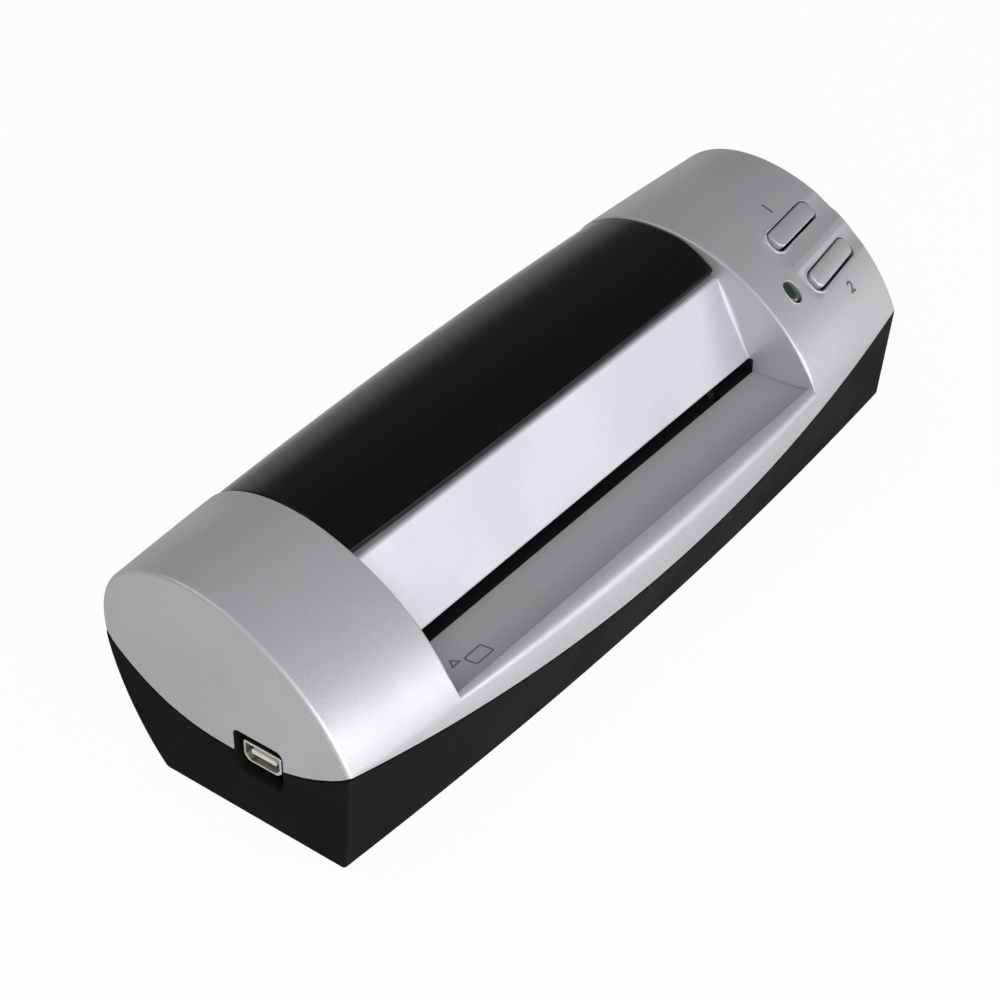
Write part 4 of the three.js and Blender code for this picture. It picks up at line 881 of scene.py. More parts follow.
@dataclass
class TopShell:
    """Silver top shell: two hollow end caps, the rim in front of the recess and the back under the panel."""

    end_radius: float = 0.8
    recess_radius: float = 0.7
    low_radius: float = 0.35
    least_radius: float = 0.02
    radius_places: tuple[float, ...] = (0.0, 0.05, 0.36, 0.46, 0.855, 0.875)
    edge_steps: int = 7
    edge_margin: float = 0.3
    drift_span: float = 1.5
    seam_offset: float = 0.15
    around: int = 250
    under: int = 50
    plain_stations: int = 30
    scooped_stations: int = 60
    scoop_climbs: Span = (-6.0, 32.0)
    scoop_rise: float = 15.0
    strip_lap: float = 1.0
    strip_step: float = 0.02
    strip_stations: int = 60
    rim_points: int = 30
    rim_rounding: float = 0.25
    crown_share: float = 0.85
    crown_width: float = 2.7
    crown_drop: float = 0.05
    crown_points: int = 14
    wall_points: int = 5
    bed_front_points: int = 16
    bed_points: int = 40
    bed_rounding: float = 0.3
    back_samples: int = 400
    back_points: int = 30
    turn_share: float = 0.25
    boss_heights: Span = (12.3, 60.0)
    boss_radius: float = 2.6
    boss_span: Span = (-78.0, 78.0)
    bore_heights: Span = (-1.0, 19.0)
    bore_radius: float = 1.4
    exit_margin: float = 4.6
    exit_heights: Span = (19.1, 21.5)
    exit_depths: Span = (22.2, 40.0)
    exit_corner: float = 0.6
    button_size: Span = (14.22, 3.7)
    button_corner: float = 1.2
    hole_gap: float = 0.4
    hole_steps: int = 8
    hole_rises: Span = (20.0, 60.0)
    lip_thin: float = 0.09
    lip_full: float = 0.34
    lip_start: float = 2.5
    lip_run: float = 4.0
    lip_inset: float = 0.8
    lip_sink: float = 0.5
    lip_steps: int = 12
    lip_step: float = 0.4
    lens_hole: Span = (1.62, 2.3)
    lens_fullness: float = 2.4
    lens_points: int = 64
    lens_lip: float = 0.16
    lens_lip_inset: float = 0.12
    lens_lip_sink: float = 0.06
    notch_size: Span = (10.2, 8.4)
    notch_corner: float = 1.3
    notch_middle: Span = (-5.7068, 13.4)
    notch_start: float = -90.0

    def skin(self, x: Array, count: int) -> Array:
        """The shell's outer skin from seam to seam."""
        return case.skin_between(x, Edge.FRONT_SEAM, Edge.BACK_SEAM, count, self.seam_offset)

    def edge_radius(self, place: Array) -> Array:
        """Rounding of the cap's edge at the recess, by the place along the section."""
        least, full, low = self.least_radius, self.recess_radius, self.low_radius
        return np.interp(place, self.radius_places, [least, full, full, low, low, least])

    def ring(self, x_edge: float, inside: int, radius: float | None, step: int) -> Array:
        """One ring of a cap's rounded edge.

        Args:
            x_edge: Station of the face that the edge borders.
            inside: 1 for a cap that lies to the right of that face, -1 for one to its left.
            radius: Radius of the edge, or None for the changing one of the edge at the recess.
            step: Place along the quarter turn.

        Returns:
            Points in space, shape (places, 3).
        """
        here = self.skin(np.array([x_edge, x_edge + inside * self.drift_span]), self.around)
        angle = math.pi / 2 * step / self.edge_steps
        radius = self.edge_radius(here[0, :, 2]) if radius is None else np.full(self.around, radius)
        setback = radius * (1 - math.cos(angle))
        drift = (here[1] - here[0]) / self.drift_span
        outer = here[0] + drift * setback[:, None]
        outer = inset_open(outer, radius * (1 - math.sin(angle)))
        return self.close_ring(outer, x_edge + inside * setback)

    def close_ring(self, outer: Array, x: Array) -> Array:
        """A ring of the skin closed along the sheet between the shells."""
        share = np.linspace(0, 1, self.under + 2)[1:-1]
        y = outer[-1, 0] + (outer[0, 0] - outer[-1, 0]) * share
        x_under = x[-1] + (x[0] - x[-1]) * share
        z = case.sheet(x_under, y, self.seam_offset)
        ring = np.concatenate([outer[:, :2], np.stack([y, z], -1)])
        return np.concatenate([np.concatenate([x, x_under])[:, None], ring], -1)

    def cap(self, side: int) -> Thing:
        """A solid end cap with a rounded outer edge and a rounded edge at the recess.

        Args:
            side: -1 for the socket end, 1 for the button end.

        Returns:
            The cap, not hollow yet.
        """
        recess_x = recess.left if side < 0 else recess.right
        end_x = side * case.half_length
        steps = range(self.edge_steps + 1)
        rings = [self.ring(recess_x, side, None, step) for step in steps]
        near = recess_x + side * (self.recess_radius + self.edge_margin)
        far = end_x - side * (self.end_radius + self.edge_margin)
        stations = np.linspace(near, far, self.scooped_stations if side > 0 else self.plain_stations)
        plain = self.skin(stations, self.around)
        rings += [self.close_ring(outer, np.full(self.around, x)) for outer, x in zip(plain, stations)]
        rings += [self.ring(end_x, -side, self.end_radius, step) for step in reversed(steps)]
        points = np.stack(rings)
        if side > 0:
            self.sink_scoops(points)
        return workshop.loft("cap", points)

    def sink_scoops(self, points: Array) -> None:
        """Lowers the skin of the button end wherever a scoop is deeper than it."""
        skin = points[:, : self.around]
        climb, rise = slope.seen(skin[..., 1], skin[..., 2])
        lowered = rise
        zone = (climb > self.scoop_climbs[0]) & (climb < self.scoop_climbs[1]) & (rise > self.scoop_rise)
        for place in BUTTONS:
            sunk = np.minimum(lowered, place.scooped(skin[..., 0], climb, lowered))
            lowered = np.where(zone, sunk, lowered)
        points[:, : self.around] = skin + (lowered - rise)[..., None] * slope.out

    def stations(self) -> Array:
        """Stations along the middle of the shell, a little past the recess at both ends."""
        return np.linspace(recess.left - self.strip_lap, recess.right + self.strip_lap, self.strip_stations)

    def rim(self) -> Thing:
        """Rim in front of the recess: the front skin, a crowned top and a straight inner wall.

        The crown is a quadratic curve from the skin to the inner edge. The corner between them controls it.

        Returns:
            The rim, not cut yet.
        """
        x = self.stations()
        brow = case.skin_between(x, Edge.FRONT_SEAM, recess.rim_top, 2, self.seam_offset)[:, -1, 0]
        top = recess.rim_top - self.crown_share * np.minimum(recess.rim_inner - brow, self.crown_width)
        skin = case.skin_between(x, Edge.FRONT_SEAM, top, self.rim_points, self.seam_offset)
        skin = inset_open(skin, self.strip_step)[..., :2]
        depth = np.full(len(x), recess.rim_inner)
        inner = np.stack([depth, np.full(len(x), recess.rim_top)], -1)
        corner = np.stack([brow, np.full(len(x), recess.rim_top - self.crown_drop)], -1)
        shares = np.linspace(0, 1, self.crown_points)[1:-1]
        crown = bezier(np.stack([skin[:, -1], corner, inner], 1), shares)
        spread = np.linspace(0, 1, self.wall_points)
        foot = np.stack([depth, case.sheet(x, depth, self.seam_offset)], -1)
        wall = inner[:, None] * (1 - spread[:, None]) + foot[:, None] * spread[:, None]
        y = depth[:, None] + (skin[:, 0, 0] - depth)[:, None] * spread[1:-1]
        under = np.stack([y, case.sheet(x[:, None], y, self.seam_offset)], -1)
        ring = np.concatenate([skin, crown, wall, under], 1)
        inner_edge = self.rim_points + len(shares)
        return workshop.loft("rim", stand(soften(ring, {inner_edge: self.rim_rounding}), x))

    def back(self) -> Thing:
        """Back of the shell with the bed under the panel."""
        x = self.stations()
        shares = np.linspace(recess.panel_back, 1, self.bed_front_points)[:-1]
        top = case.arch(x, shares, case.skin + self.strip_step)
        rear = self.skin(x, self.back_samples)
        first = np.argmax(rear[..., 2] >= 1, axis=1)
        lengths = lengths_along(rear)
        start = np.take_along_axis(lengths, first[:, None], 1)
        wanted = start + (lengths[:, -1:] - start) * np.linspace(0, 1, self.back_points)
        down = inset_open(points_at(rear, lengths, wanted), self.strip_step)[..., :2]
        up = inset_open(down, case.wall)[:, ::-1]
        turn = np.array([recess.panel_back + (1 - recess.panel_back) * self.turn_share])
        shares = np.linspace(recess.panel_bed, recess.panel_back, self.bed_points)
        thick = recess.panel_thickness + case.fit
        under = case.arch(x, shares[::-1], recess.bed_inset(shares[::-1], thick + case.wall))
        bed = case.arch(x, shares, recess.bed_inset(shares, thick))
        ring = np.concatenate([top, down, up, case.arch(x, turn, case.wall), under, bed], 1)
        return workshop.loft("back", stand(soften(ring, {0: self.bed_rounding}), x))

    def hole_outline(self, steps: int) -> Array:
        """Outline of a button's hole round the button's middle."""
        length, width = self.button_size
        gap = self.hole_gap
        return rounded_rectangle(length + 2 * gap, width + 2 * gap, self.button_corner + gap, steps)

    def lens_outline(self) -> Array:
        """Outline of the lens's hole round the lens's middle."""
        return oval(*self.lens_hole, self.lens_points, self.lens_fullness)

    def notch_outline(self) -> Array:
        """Outline of the socket's notch in (y, z)."""
        return rounded_rectangle(*self.notch_size, self.notch_corner)[::-1] + np.array(self.notch_middle)

    def notch(self) -> Thing:
        """Prism that cuts the socket's notch out of both shells."""
        reach = -case.half_length + case.wall + case.fit
        return workshop.prism_x("notch", self.notch_outline(), (self.notch_start, reach))

    def exit_slot(self) -> Thing:
        """Prism that cuts the slot in the back where a card comes out."""
        low, high = self.exit_heights
        width = recess.right - recess.left - 2 * self.exit_margin
        shape = rounded_rectangle(width, high - low, self.exit_corner) + [recess.middle, (low + high) / 2]
        return workshop.loft("slot", np.stack([np.insert(shape, 1, y, axis=1) for y in self.exit_depths]))

    def build(self) -> Thing:
        """The whole shell, hollow, with its holes, bosses and edges.

        Returns:
            The finished shell.
        """
        inner = case.half_length - case.wall
        shell = workshop.change(self.cap(-1), Cut.JOIN, self.cap(1), self.rim(), self.back())
        rooms = [
            case.room("room", (-inner, recess.left - case.wall), case.wall),
            case.room("room", (recess.right + case.wall, inner), case.wall),
            case.room("room", (-inner, inner), case.wall, high=recess.bulkhead_bottom),
        ]
        shell = workshop.change(shell, Cut.TAKE, *rooms)
        for corner in CORNERS:
            middle = middle_of("case_screw_" + corner)
            boss = workshop.rod_z("boss", middle, self.boss_heights, self.boss_radius)
            boss = workshop.change(boss, Cut.KEEP, case.room("core", self.boss_span, case.wall / 2))
            shell = workshop.change(shell, Cut.JOIN, boss)
            bore = workshop.rod_z("bore", middle, self.bore_heights, self.bore_radius)
            shell = workshop.change(shell, Cut.TAKE, bore)
        hole = self.hole_outline(self.hole_steps)
        tools = [
            self.exit_slot(),
            self.notch(),
            *(slope_prism("hole", place, hole, *self.hole_rises) for place in BUTTONS),
            slope_prism("hole", LENS, self.lens_outline(), *self.hole_rises),
        ]
        shell = workshop.change(shell, Cut.TAKE, *tools)
        return workshop.deliver(shell, "silver_top", "silver_plastic", "top_shell")

    def lips(self) -> Thing:
        """Rounded lips round the button holes and the lens hole, full at the near end and thin elsewhere.

        Returns:
            The finished lips.
        """
        beads = []
        for place in BUTTONS:
            ring = refine(self.hole_outline(self.lip_steps), self.lip_step)
            share = np.clip((-ring[:, 0] - self.lip_start) / self.lip_run, 0, 1)
            radius = self.lip_thin + (self.lip_full - self.lip_thin) * share**2 * (3 - 2 * share)
            path = place.skin(inset_closed(ring, self.lip_inset * radius[:, None]), -self.lip_sink * radius)
            beads.append(bead("lip", path, radius))
        ring = self.lens_outline()
        x, climb = LENS.outline(inset_closed(ring, self.lens_lip_inset))
        path = slope.space(x, climb, slope.rise_of_skin(x, climb) - self.lens_lip_sink)
        beads.append(bead("lip", path, np.full(len(ring), self.lens_lip)))
        return workshop.deliver(workshop.gather("lips", *beads), "hole_lips", "silver_plastic")


@dataclass
class BaseShell:
    """Black base shell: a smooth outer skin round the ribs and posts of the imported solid."""

    end_radius: float = 0.5
    end_steps: int = 5
    foot_rounding: float = 0.7
    foot_keep: float = 0.6
    seam_rounding: float = 0.2
    seam_keep: float = 0.3
    least_rounding: float = 0.05
    seam_offset: float = -0.15
    stations: int = 90
    front_points: int = 26
    back_points: int = 24
    sheet_points: int = 60
    under_points: int = 6
    core_span: Span = (-78.1, 78.1)
    tool_start: float = -2.0
    well_top: float = 3.6
    well_radius: float = 2.32
    seat_top: float = 1.1
    seat_radius: float = 3.82

    def rings(self, x: Array, inset: float = 0.0) -> Array:
        """Sections below the sheet: front wall, sheet, back wall and underside, moved inwards by an inset.

        Args:
            x: Stations along the case.
            inset: How far the sections move inwards. The roundings shrink by shares of it.

        Returns:
            Closed rings in (y, z).
        """
        offset = self.seam_offset
        front = case.skin_between(x, Edge.FRONT_FOOT, Edge.FRONT_SEAM, self.front_points, offset)[..., :2]
        back = case.skin_between(x, Edge.BACK_SEAM, Edge.BACK_FOOT, self.back_points, offset)[..., :2]
        share = np.linspace(0, 1, self.sheet_points + 2)[1:-1]
        y = front[:, -1:, 0] + (back[:, :1, 0] - front[:, -1:, 0]) * share
        sheet = np.stack([y, case.sheet(x[:, None], y, offset)], -1)
        share = np.linspace(0, 1, self.under_points + 2)[1:-1][:, None]
        under = back[:, -1:] * (1 - share) + front[:, :1] * share
        ring = np.concatenate([front, sheet, back, under], 1)
        foot = max(self.foot_rounding - inset * self.foot_keep, self.least_rounding)
        seam = max(self.seam_rounding - inset * self.seam_keep, self.least_rounding)
        back_start = self.front_points + self.sheet_points
        corners = {
            0: foot,
            self.front_points - 1: seam,
            back_start: seam,
            back_start + self.back_points - 1: foot,
        }
        return soften(inset_closed(ring, inset), corners)

    def build(self) -> Thing:
        """The whole base shell.

        Returns:
            The finished shell.
        """
        insets, setbacks = quarter(self.end_steps)
        end = case.half_length - self.end_radius
        x = np.linspace(-end, end, self.stations)
        ends = np.array([-case.half_length, case.half_length])
        left = np.stack([self.rings(ends[:1], self.end_radius * inset)[0] for inset in insets[:-1]])
        right = np.stack([self.rings(ends[1:], self.end_radius * inset)[0] for inset in insets[-2::-1]])
        x_left = -case.half_length + self.end_radius * setbacks[:-1]
        points = np.concatenate([stand(left, x_left), stand(self.rings(x), x), stand(right, -x_left[::-1])])
        shell = workshop.loft("base", points)
        inner = case.half_length - case.wall
        room = case.room("room", (-inner, inner), case.wall, low=case.wall)
        shell = workshop.change(shell, Cut.TAKE, room)
        room = case.room("core", self.core_span, case.wall / 2, low=case.wall / 2)
        core = workshop.change(workshop.copy_node("base_shell"), Cut.KEEP, room)
        shell = workshop.change(shell, Cut.JOIN, core)
        tools = [TopShell().notch()]
        for corner in CORNERS:
            well, seat = middle_of("case_screw_" + corner), middle_of("foot_" + corner)
            tools.append(workshop.rod_z("well", well, (self.tool_start, self.well_top), self.well_radius))
            tools.append(workshop.rod_z("seat", seat, (self.tool_start, self.seat_top), self.seat_radius))
        shell = workshop.change(shell, Cut.TAKE, *tools)
        return workshop.deliver(shell, "black_base", "black_plastic", "base_shell")


@dataclass
class TopPanel:
    """Gloss black panel that lies in its bed on the arch and turns down in front."""

    edge: float = 0.24
    edge_steps: int = 5
    corner: float = 0.42
    stations: int = 60
    points: int = 90
    back_gap_share: float = 0.0052

    def build(self) -> Thing:
        """The panel, with every edge rounded.

        Returns:
            The finished panel.
        """
        insets, setbacks = quarter(self.edge_steps)
        low, high = recess.left + case.fit, recess.right - case.fit
        x = np.concatenate([
            low + self.edge * setbacks,
            np.linspace(low, high, self.stations + 2)[1:-1],
            (high - self.edge * setbacks)[::-1],
        ])
        shares = np.linspace(recess.panel_front, recess.panel_back - self.back_gap_share, self.points)
        outer = case.arch(x, shares, recess.bed_inset(shares, 0.0))
        inner = case.arch(x, shares[::-1], recess.bed_inset(shares[::-1], recess.panel_thickness))
        corners = (0, self.points - 1, self.points, 2 * self.points - 1)
        ring = soften(np.concatenate([outer, inner], 1), dict.fromkeys(corners, self.corner))
        depth = np.concatenate([self.edge * insets, np.zeros(self.stations), self.edge * insets[::-1]])
        rings = np.stack([inset_closed(one, inset) for one, inset in zip(ring, depth)])
        panel = workshop.loft("panel", stand(rings, x))
        return workshop.deliver(panel, "black_panel", "gloss_black_plastic", "top_panel")


@dataclass
class GuidePlate:
    """Bright steep plate over the slot, folded back at its top."""

    foot_y: float = -12.702
    lip_rise: float = 0.35
    top_height: float = 35.88
    slope_degrees: float = 61.2
    thickness: float = 1.6
    flange: float = 3.2
    side_gap: float = 0.07
    end_edge: float = 0.1
    roundings: tuple[float, ...] = (0.55, 0.5, 0.2, 0.2, 0.6, 0.3)
    rounding_steps: int = 7
    fillet_least: float = 0.2
    fillet_growth: float = 1.0
    fillet_power: float = 1.6
    fillet_start: float = 0.1
    fillet_top: float = 35.7
    fillet_sink: float = 0.4
    fillet_gap: float = 0.02
    fillet_points: int = 12
    fillet_stations: int = 15

    def fillet(self, lean: float, angle: float) -> Thing:
        """Hollow corner between the plate's face and the right wall.

        It is a quarter circle whose radius swells up the face and closes again at its top: the growth times
        the sine of half a turn, taken at a power of the height's share.

        Args:
            lean: Depth that the face gains for each millimetre of height.
            angle: Slope of the face.

        Returns:
            The corner, a little sunk in the plate.
        """
        turn = np.linspace(0, math.pi / 2, self.fillet_points)
        wall = recess.right - self.fillet_gap
        bottom = recess.slot_top + self.lip_rise + self.fillet_start
        rings = []
        for share in np.linspace(0, 1, self.fillet_stations):
            z = bottom * (1 - share) + self.fillet_top * share
            radius = self.fillet_least + self.fillet_growth * math.sin(math.pi * share**self.fillet_power)
            x = np.concatenate([[wall, wall - radius], wall - radius + radius * np.sin(turn)])
            lift = np.concatenate([np.full(2, -self.fillet_sink), radius - radius * np.cos(turn)])
            face = self.foot_y + (z - recess.slot_top) * lean
            rings.append(np.stack([x, face - lift / math.sin(angle), np.full(len(x), z)], -1))
        return workshop.loft("fillet", np.stack(rings))

    def build(self) -> Thing:
        """The plate: its outline with rounded lip and fold, run along the recess.

        Returns:
            The finished plate.
        """
        angle = math.radians(self.slope_degrees)
        lean = 1 / math.tan(angle)
        top_y = self.foot_y + (self.top_height - recess.slot_top) * lean
        across = self.thickness / math.sin(angle)
        under = self.top_height - self.thickness
        foot_y, foot_z = self.foot_y + self.lip_rise * lean, recess.slot_top + self.lip_rise
        ring = np.array([
            [foot_y, foot_z],
            [top_y, self.top_height],
            [top_y + self.flange, self.top_height],
            [top_y + self.flange, under],
            [top_y + across - self.thickness * lean, under],
            [foot_y + across, foot_z],
        ])
        ring = soften(ring[None], dict(enumerate(self.roundings)), self.rounding_steps)[0]
        span = (recess.left + self.side_gap, recess.right - self.side_gap)
        plate = workshop.prism_x("plate", ring, span, self.end_edge)
        plate = workshop.change(plate, Cut.JOIN, self.fillet(lean, angle))
        # The plate's lighter, bluer silver is painted light on the same silver paint
        return workshop.deliver(plate, "guide_plate", "bright_silver_plastic", "card_guide_plate")


@dataclass
class FeedTray:
    """Grey tray that a card slides in on, with its windows, lever slit and lever lugs."""

    front: float = -25.04
    side_gap: float = 0.07
    back: float = 24.0
    rise: float = 0.9
    run: float = 5.6
    run_points: int = 12
    thickness: float = 1.6
    end_edge: float = 0.1
    roundings: tuple[tuple[int, float], ...] = ((0, 0.12), (12, 0.25), (13, 0.25), (15, 0.3))
    window_gap: float = 0.6
    window_half: float = 4.2
    window_heights: Span = (10.0, 30.0)
    pivot_inset: float = 11.2
    pivot: Span = (-14.002, 14.6)
    slit_half: float = 1.1
    slit_run: Span = (0.4, 6.6)
    pin_half: float = 6.0
    pin_radius: float = 1.3
    lug_faces: Span = (1.2, 2.6)
    lug_half: float = 2.2
    lug_bottom: float = 12.4
    lug_lap: float = 0.8
    # Where the slot's painted shade starts on the tray, and the sizes of the black floor and side walls that
    # paint it
    throat: float = -13.6
    throat_drop: float = 0.12
    throat_gap: float = 0.05
    shade_liner: float = 0.3
    shade_liner_gap: float = 0.02
    shade_liner_length: Span = (0.3, 9.0)
    shade_liner_drop: float = 0.3
    shade_liner_top: float = 21.7
    wide: Span = (-60.0, 60.0)
    deep: float = 30.0

    def height(self, y: Array) -> Array:
        """Height of the tray's face: flat, and rising to the front as the square of the run's share."""
        return recess.floor + self.rise * np.clip((self.front + self.run - y) / self.run, 0, 1) ** 2

    def windows(self) -> list[Thing]:
        """Blocks that cut the windows of the rollers and of the image sensor."""
        tools = []
        for end in ("front", "rear"):
            for side in ("left", "right"):
                roller = f"{end}_drive_roller_{side}"
                low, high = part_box(roller)
                y = middle_of(roller)[1]
                tools.append(workshop.box(
                    "window", (low.x / METRES - self.window_gap, high.x / METRES + self.window_gap),
                    (y - self.window_half, y + self.window_half), self.window_heights))
        low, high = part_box("image_sensor")
        tools.append(workshop.box(
            "window", (low.x / METRES - case.fit, high.x / METRES + case.fit),
            (low.y / METRES - DEPTH_SHIFT - case.fit, high.y / METRES - DEPTH_SHIFT + case.fit),
            self.window_heights))
        return tools

    def lever_seat(self, bottom: float) -> tuple[list[Thing], list[Thing]]:
        """The lugs that hold the card lever, and what cuts its slit and its pin's hole."""
        x, (y, z) = recess.right - self.pivot_inset, self.pivot
        slit = (y + self.slit_run[0], y + self.slit_run[1])
        tools = [
            workshop.box("slit", (x - self.slit_half, x + self.slit_half), slit, self.window_heights),
            workshop.rod_x("pin", self.pivot, (x - self.pin_half, x + self.pin_half), self.pin_radius),
        ]
        lugs = []
        for side in (-1, 1):
            faces = tuple(sorted(x + side * face for face in self.lug_faces))
            heights = (self.lug_bottom, bottom + self.lug_lap)
            lugs.append(workshop.box("lug", faces, (y - self.lug_half, y + self.lug_half), heights))
        return lugs, tools

    def whole(self) -> Thing:
        """The tray in one piece: a floor that rises to the front as a squared curve, with its openings."""
        flat = self.front + self.run
        depth = np.linspace(self.front, flat, self.run_points)
        top = np.stack([depth, self.height(depth)], -1)
        bottom = recess.floor - self.thickness
        ring = np.concatenate([top, [
            [self.back, recess.floor],
            [self.back, bottom],
            [flat, bottom],
            [self.front, bottom + self.rise / 2],
        ]])
        ring = soften(ring[None], dict(self.roundings))[0]
        span = (recess.left + self.side_gap, recess.right - self.side_gap)
        tray = workshop.prism_x("tray", ring, span, self.end_edge)
        windows = self.windows()
        lugs, tools = self.lever_seat(bottom)
        return workshop.change(workshop.change(tray, Cut.JOIN, *lugs), Cut.TAKE, *windows, *tools)

    def build(self) -> tuple[Thing, Thing]:
        """The tray, parted where the slot's shadow starts, with a black floor and low black side walls
        behind the part that are painted shade.

        Returns:
            The grey floor in front of the slot, and behind it the black floor of the throat, which is
            painted shade.
        """
        tray = self.whole()
        # The black floor behind the part and its low black side walls stand in for the slot's shade: painted
        # shade
        throat = workshop.twin("throat", tray)
        ahead, all_depths, all_heights = -self.deep, (-self.deep, self.deep), (0, self.deep)
        rear = workshop.box("rear", self.wide, (self.throat, self.deep), all_heights)
        tray = workshop.change(tray, Cut.TAKE, rear)
        face = recess.floor - self.throat_drop
        front = workshop.box("front", self.wide, (ahead, self.throat + self.throat_gap), all_heights)
        above = workshop.box("above", self.wide, all_depths, (face, self.deep))
        throat = workshop.change(throat, Cut.TAKE, front, above)
        y = tuple(self.throat + place for place in self.shade_liner_length)
        for x in ((recess.left + self.shade_liner_gap, recess.left + self.shade_liner),
                  (recess.right - self.shade_liner, recess.right - self.shade_liner_gap)):
            shade_liner = workshop.box("shade_liner", x, y, (face - self.shade_liner_drop, self.shade_liner_top))
            throat = workshop.change(throat, Cut.JOIN, shade_liner)
        return (
            workshop.deliver(tray, "grey_tray", "grey_plastic", "feed_tray"),
            workshop.deliver(throat, "throat_floor", "inner_black_plastic", "feed_tray"),
        )


@dataclass
class BarButton:
    """One of the two bar buttons: a pillow-shaped cap on a flange, with a short stem under it."""

    place: ButtonPlace
    length: float = 14.22
    width: float = 3.6
    corner: float = 1.2
    corner_keep: float = 0.6
    least_corner: float = 0.02
    climb_shift: float = 0.15
    proud: float = 0.22
    lean: float = 0.035
    crown: float = 0.12
    crown_start: float = 0.15
    crown_rings: int = 8
    crown_tip: float = 0.01
    edge: float = 0.4
    edge_rings: int = 9
    flange_lap: float = 0.9
    flange_corner: float = 0.3
    flange_steps: int = 3
    flange_gap: float = 1.0
    flange_thickness: float = 0.98
    stem_radius: float = 1.0
    stem_end: float = 30.86

    def cap_ring(self, inset: float, lift: float) -> Array:
        """One ring of the cap: its outline moved inwards, on the case's skin raised by a lift."""
        corner = max(self.corner - inset * self.corner_keep, self.least_corner)
        shape = rounded_rectangle(self.length - 2 * inset, self.width - 2 * inset, corner)
        x, climb = self.place.outline(shape + [0, self.climb_shift])
        return slope.space(x, climb, slope.rise_of_skin(x, climb) + lift - self.lean * shape[:, 0])

    def build(self) -> Thing:
        """The button: rings that go up the sides, round the edge by a quarter turn and over the crown.

        Returns:
            The finished button.
        """
        top = float(slope.rise_of_skin(self.place.x, self.place.climb))
        high = top - case.wall - self.flange_gap
        low = high - self.flange_thickness
        shape = rounded_rectangle(self.length, self.width, self.corner)
        x, climb = self.place.outline(shape + [0, self.climb_shift])
        rings = [slope.space(x, climb, low), slope.space(x, climb, high)]
        for angle in np.linspace(0, math.pi / 2, self.edge_rings):
            inset = self.edge * (1 - math.cos(angle))
            rings.append(self.cap_ring(inset, self.proud - self.edge * (1 - math.sin(angle))))
        for share in np.linspace(self.crown_start, 1, self.crown_rings):
            inset = self.edge + (self.width / 2 - self.edge - self.crown_tip) * share
            rings.append(self.cap_ring(inset, self.proud + self.crown * (1 - (1 - share) ** 2)))
        cap = workshop.loft("cap", np.stack(rings))
        length = self.length + 2 * self.flange_lap
        wide = rounded_rectangle(length, self.width, self.flange_corner, self.flange_steps)
        flange = slope_prism("flange", self.place, wide, low, high)
        stem = slope_prism("stem", self.place, oval(self.stem_radius, self.stem_radius), self.stem_end, high)
        whole = workshop.change(cap, Cut.JOIN, flange, stem)
        node = self.place.name
        return workshop.deliver(whole, "bar_" + node, "silver_plastic", node, body=node)


@dataclass
class StatusLens:
    """Oval lens of the status light, domed a little above the skin."""

    half_width: float = 1.3
    half_length: float = 1.95
    fullness: float = 2.4
    points: int = 64
    dome: float = 0.1
    dome_rings: int = 10
    least_share: float = 0.01
    edge_drop: float = 0.4
    light_stand: float = 5.4

    def build(self) -> Thing:
        """The lens: rings of an oval that shrink as a cosine while they rise as a sine.

        Returns:
            The finished lens.
        """
        bottom = float(slope.rise_of_skin(BUTTONS[0].x, BUTTONS[0].climb)) - self.light_stand
        shape = oval(self.half_width, self.half_length, self.points, self.fullness)
        x, climb = LENS.outline(shape)
        rings = [slope.space(x, climb, bottom)]
        for angle in np.linspace(0, math.pi / 2, self.dome_rings):
            x, climb = LENS.outline(shape * max(math.cos(angle), self.least_share))
            lift = (self.edge_drop + self.dome) * math.sin(angle) - self.edge_drop
            rings.append(slope.space(x, climb, slope.rise_of_skin(x, climb) + lift))
        lens = workshop.loft("lens", np.stack(rings))
        return workshop.deliver(lens, "light_lens", "green_lens", "status_lens")


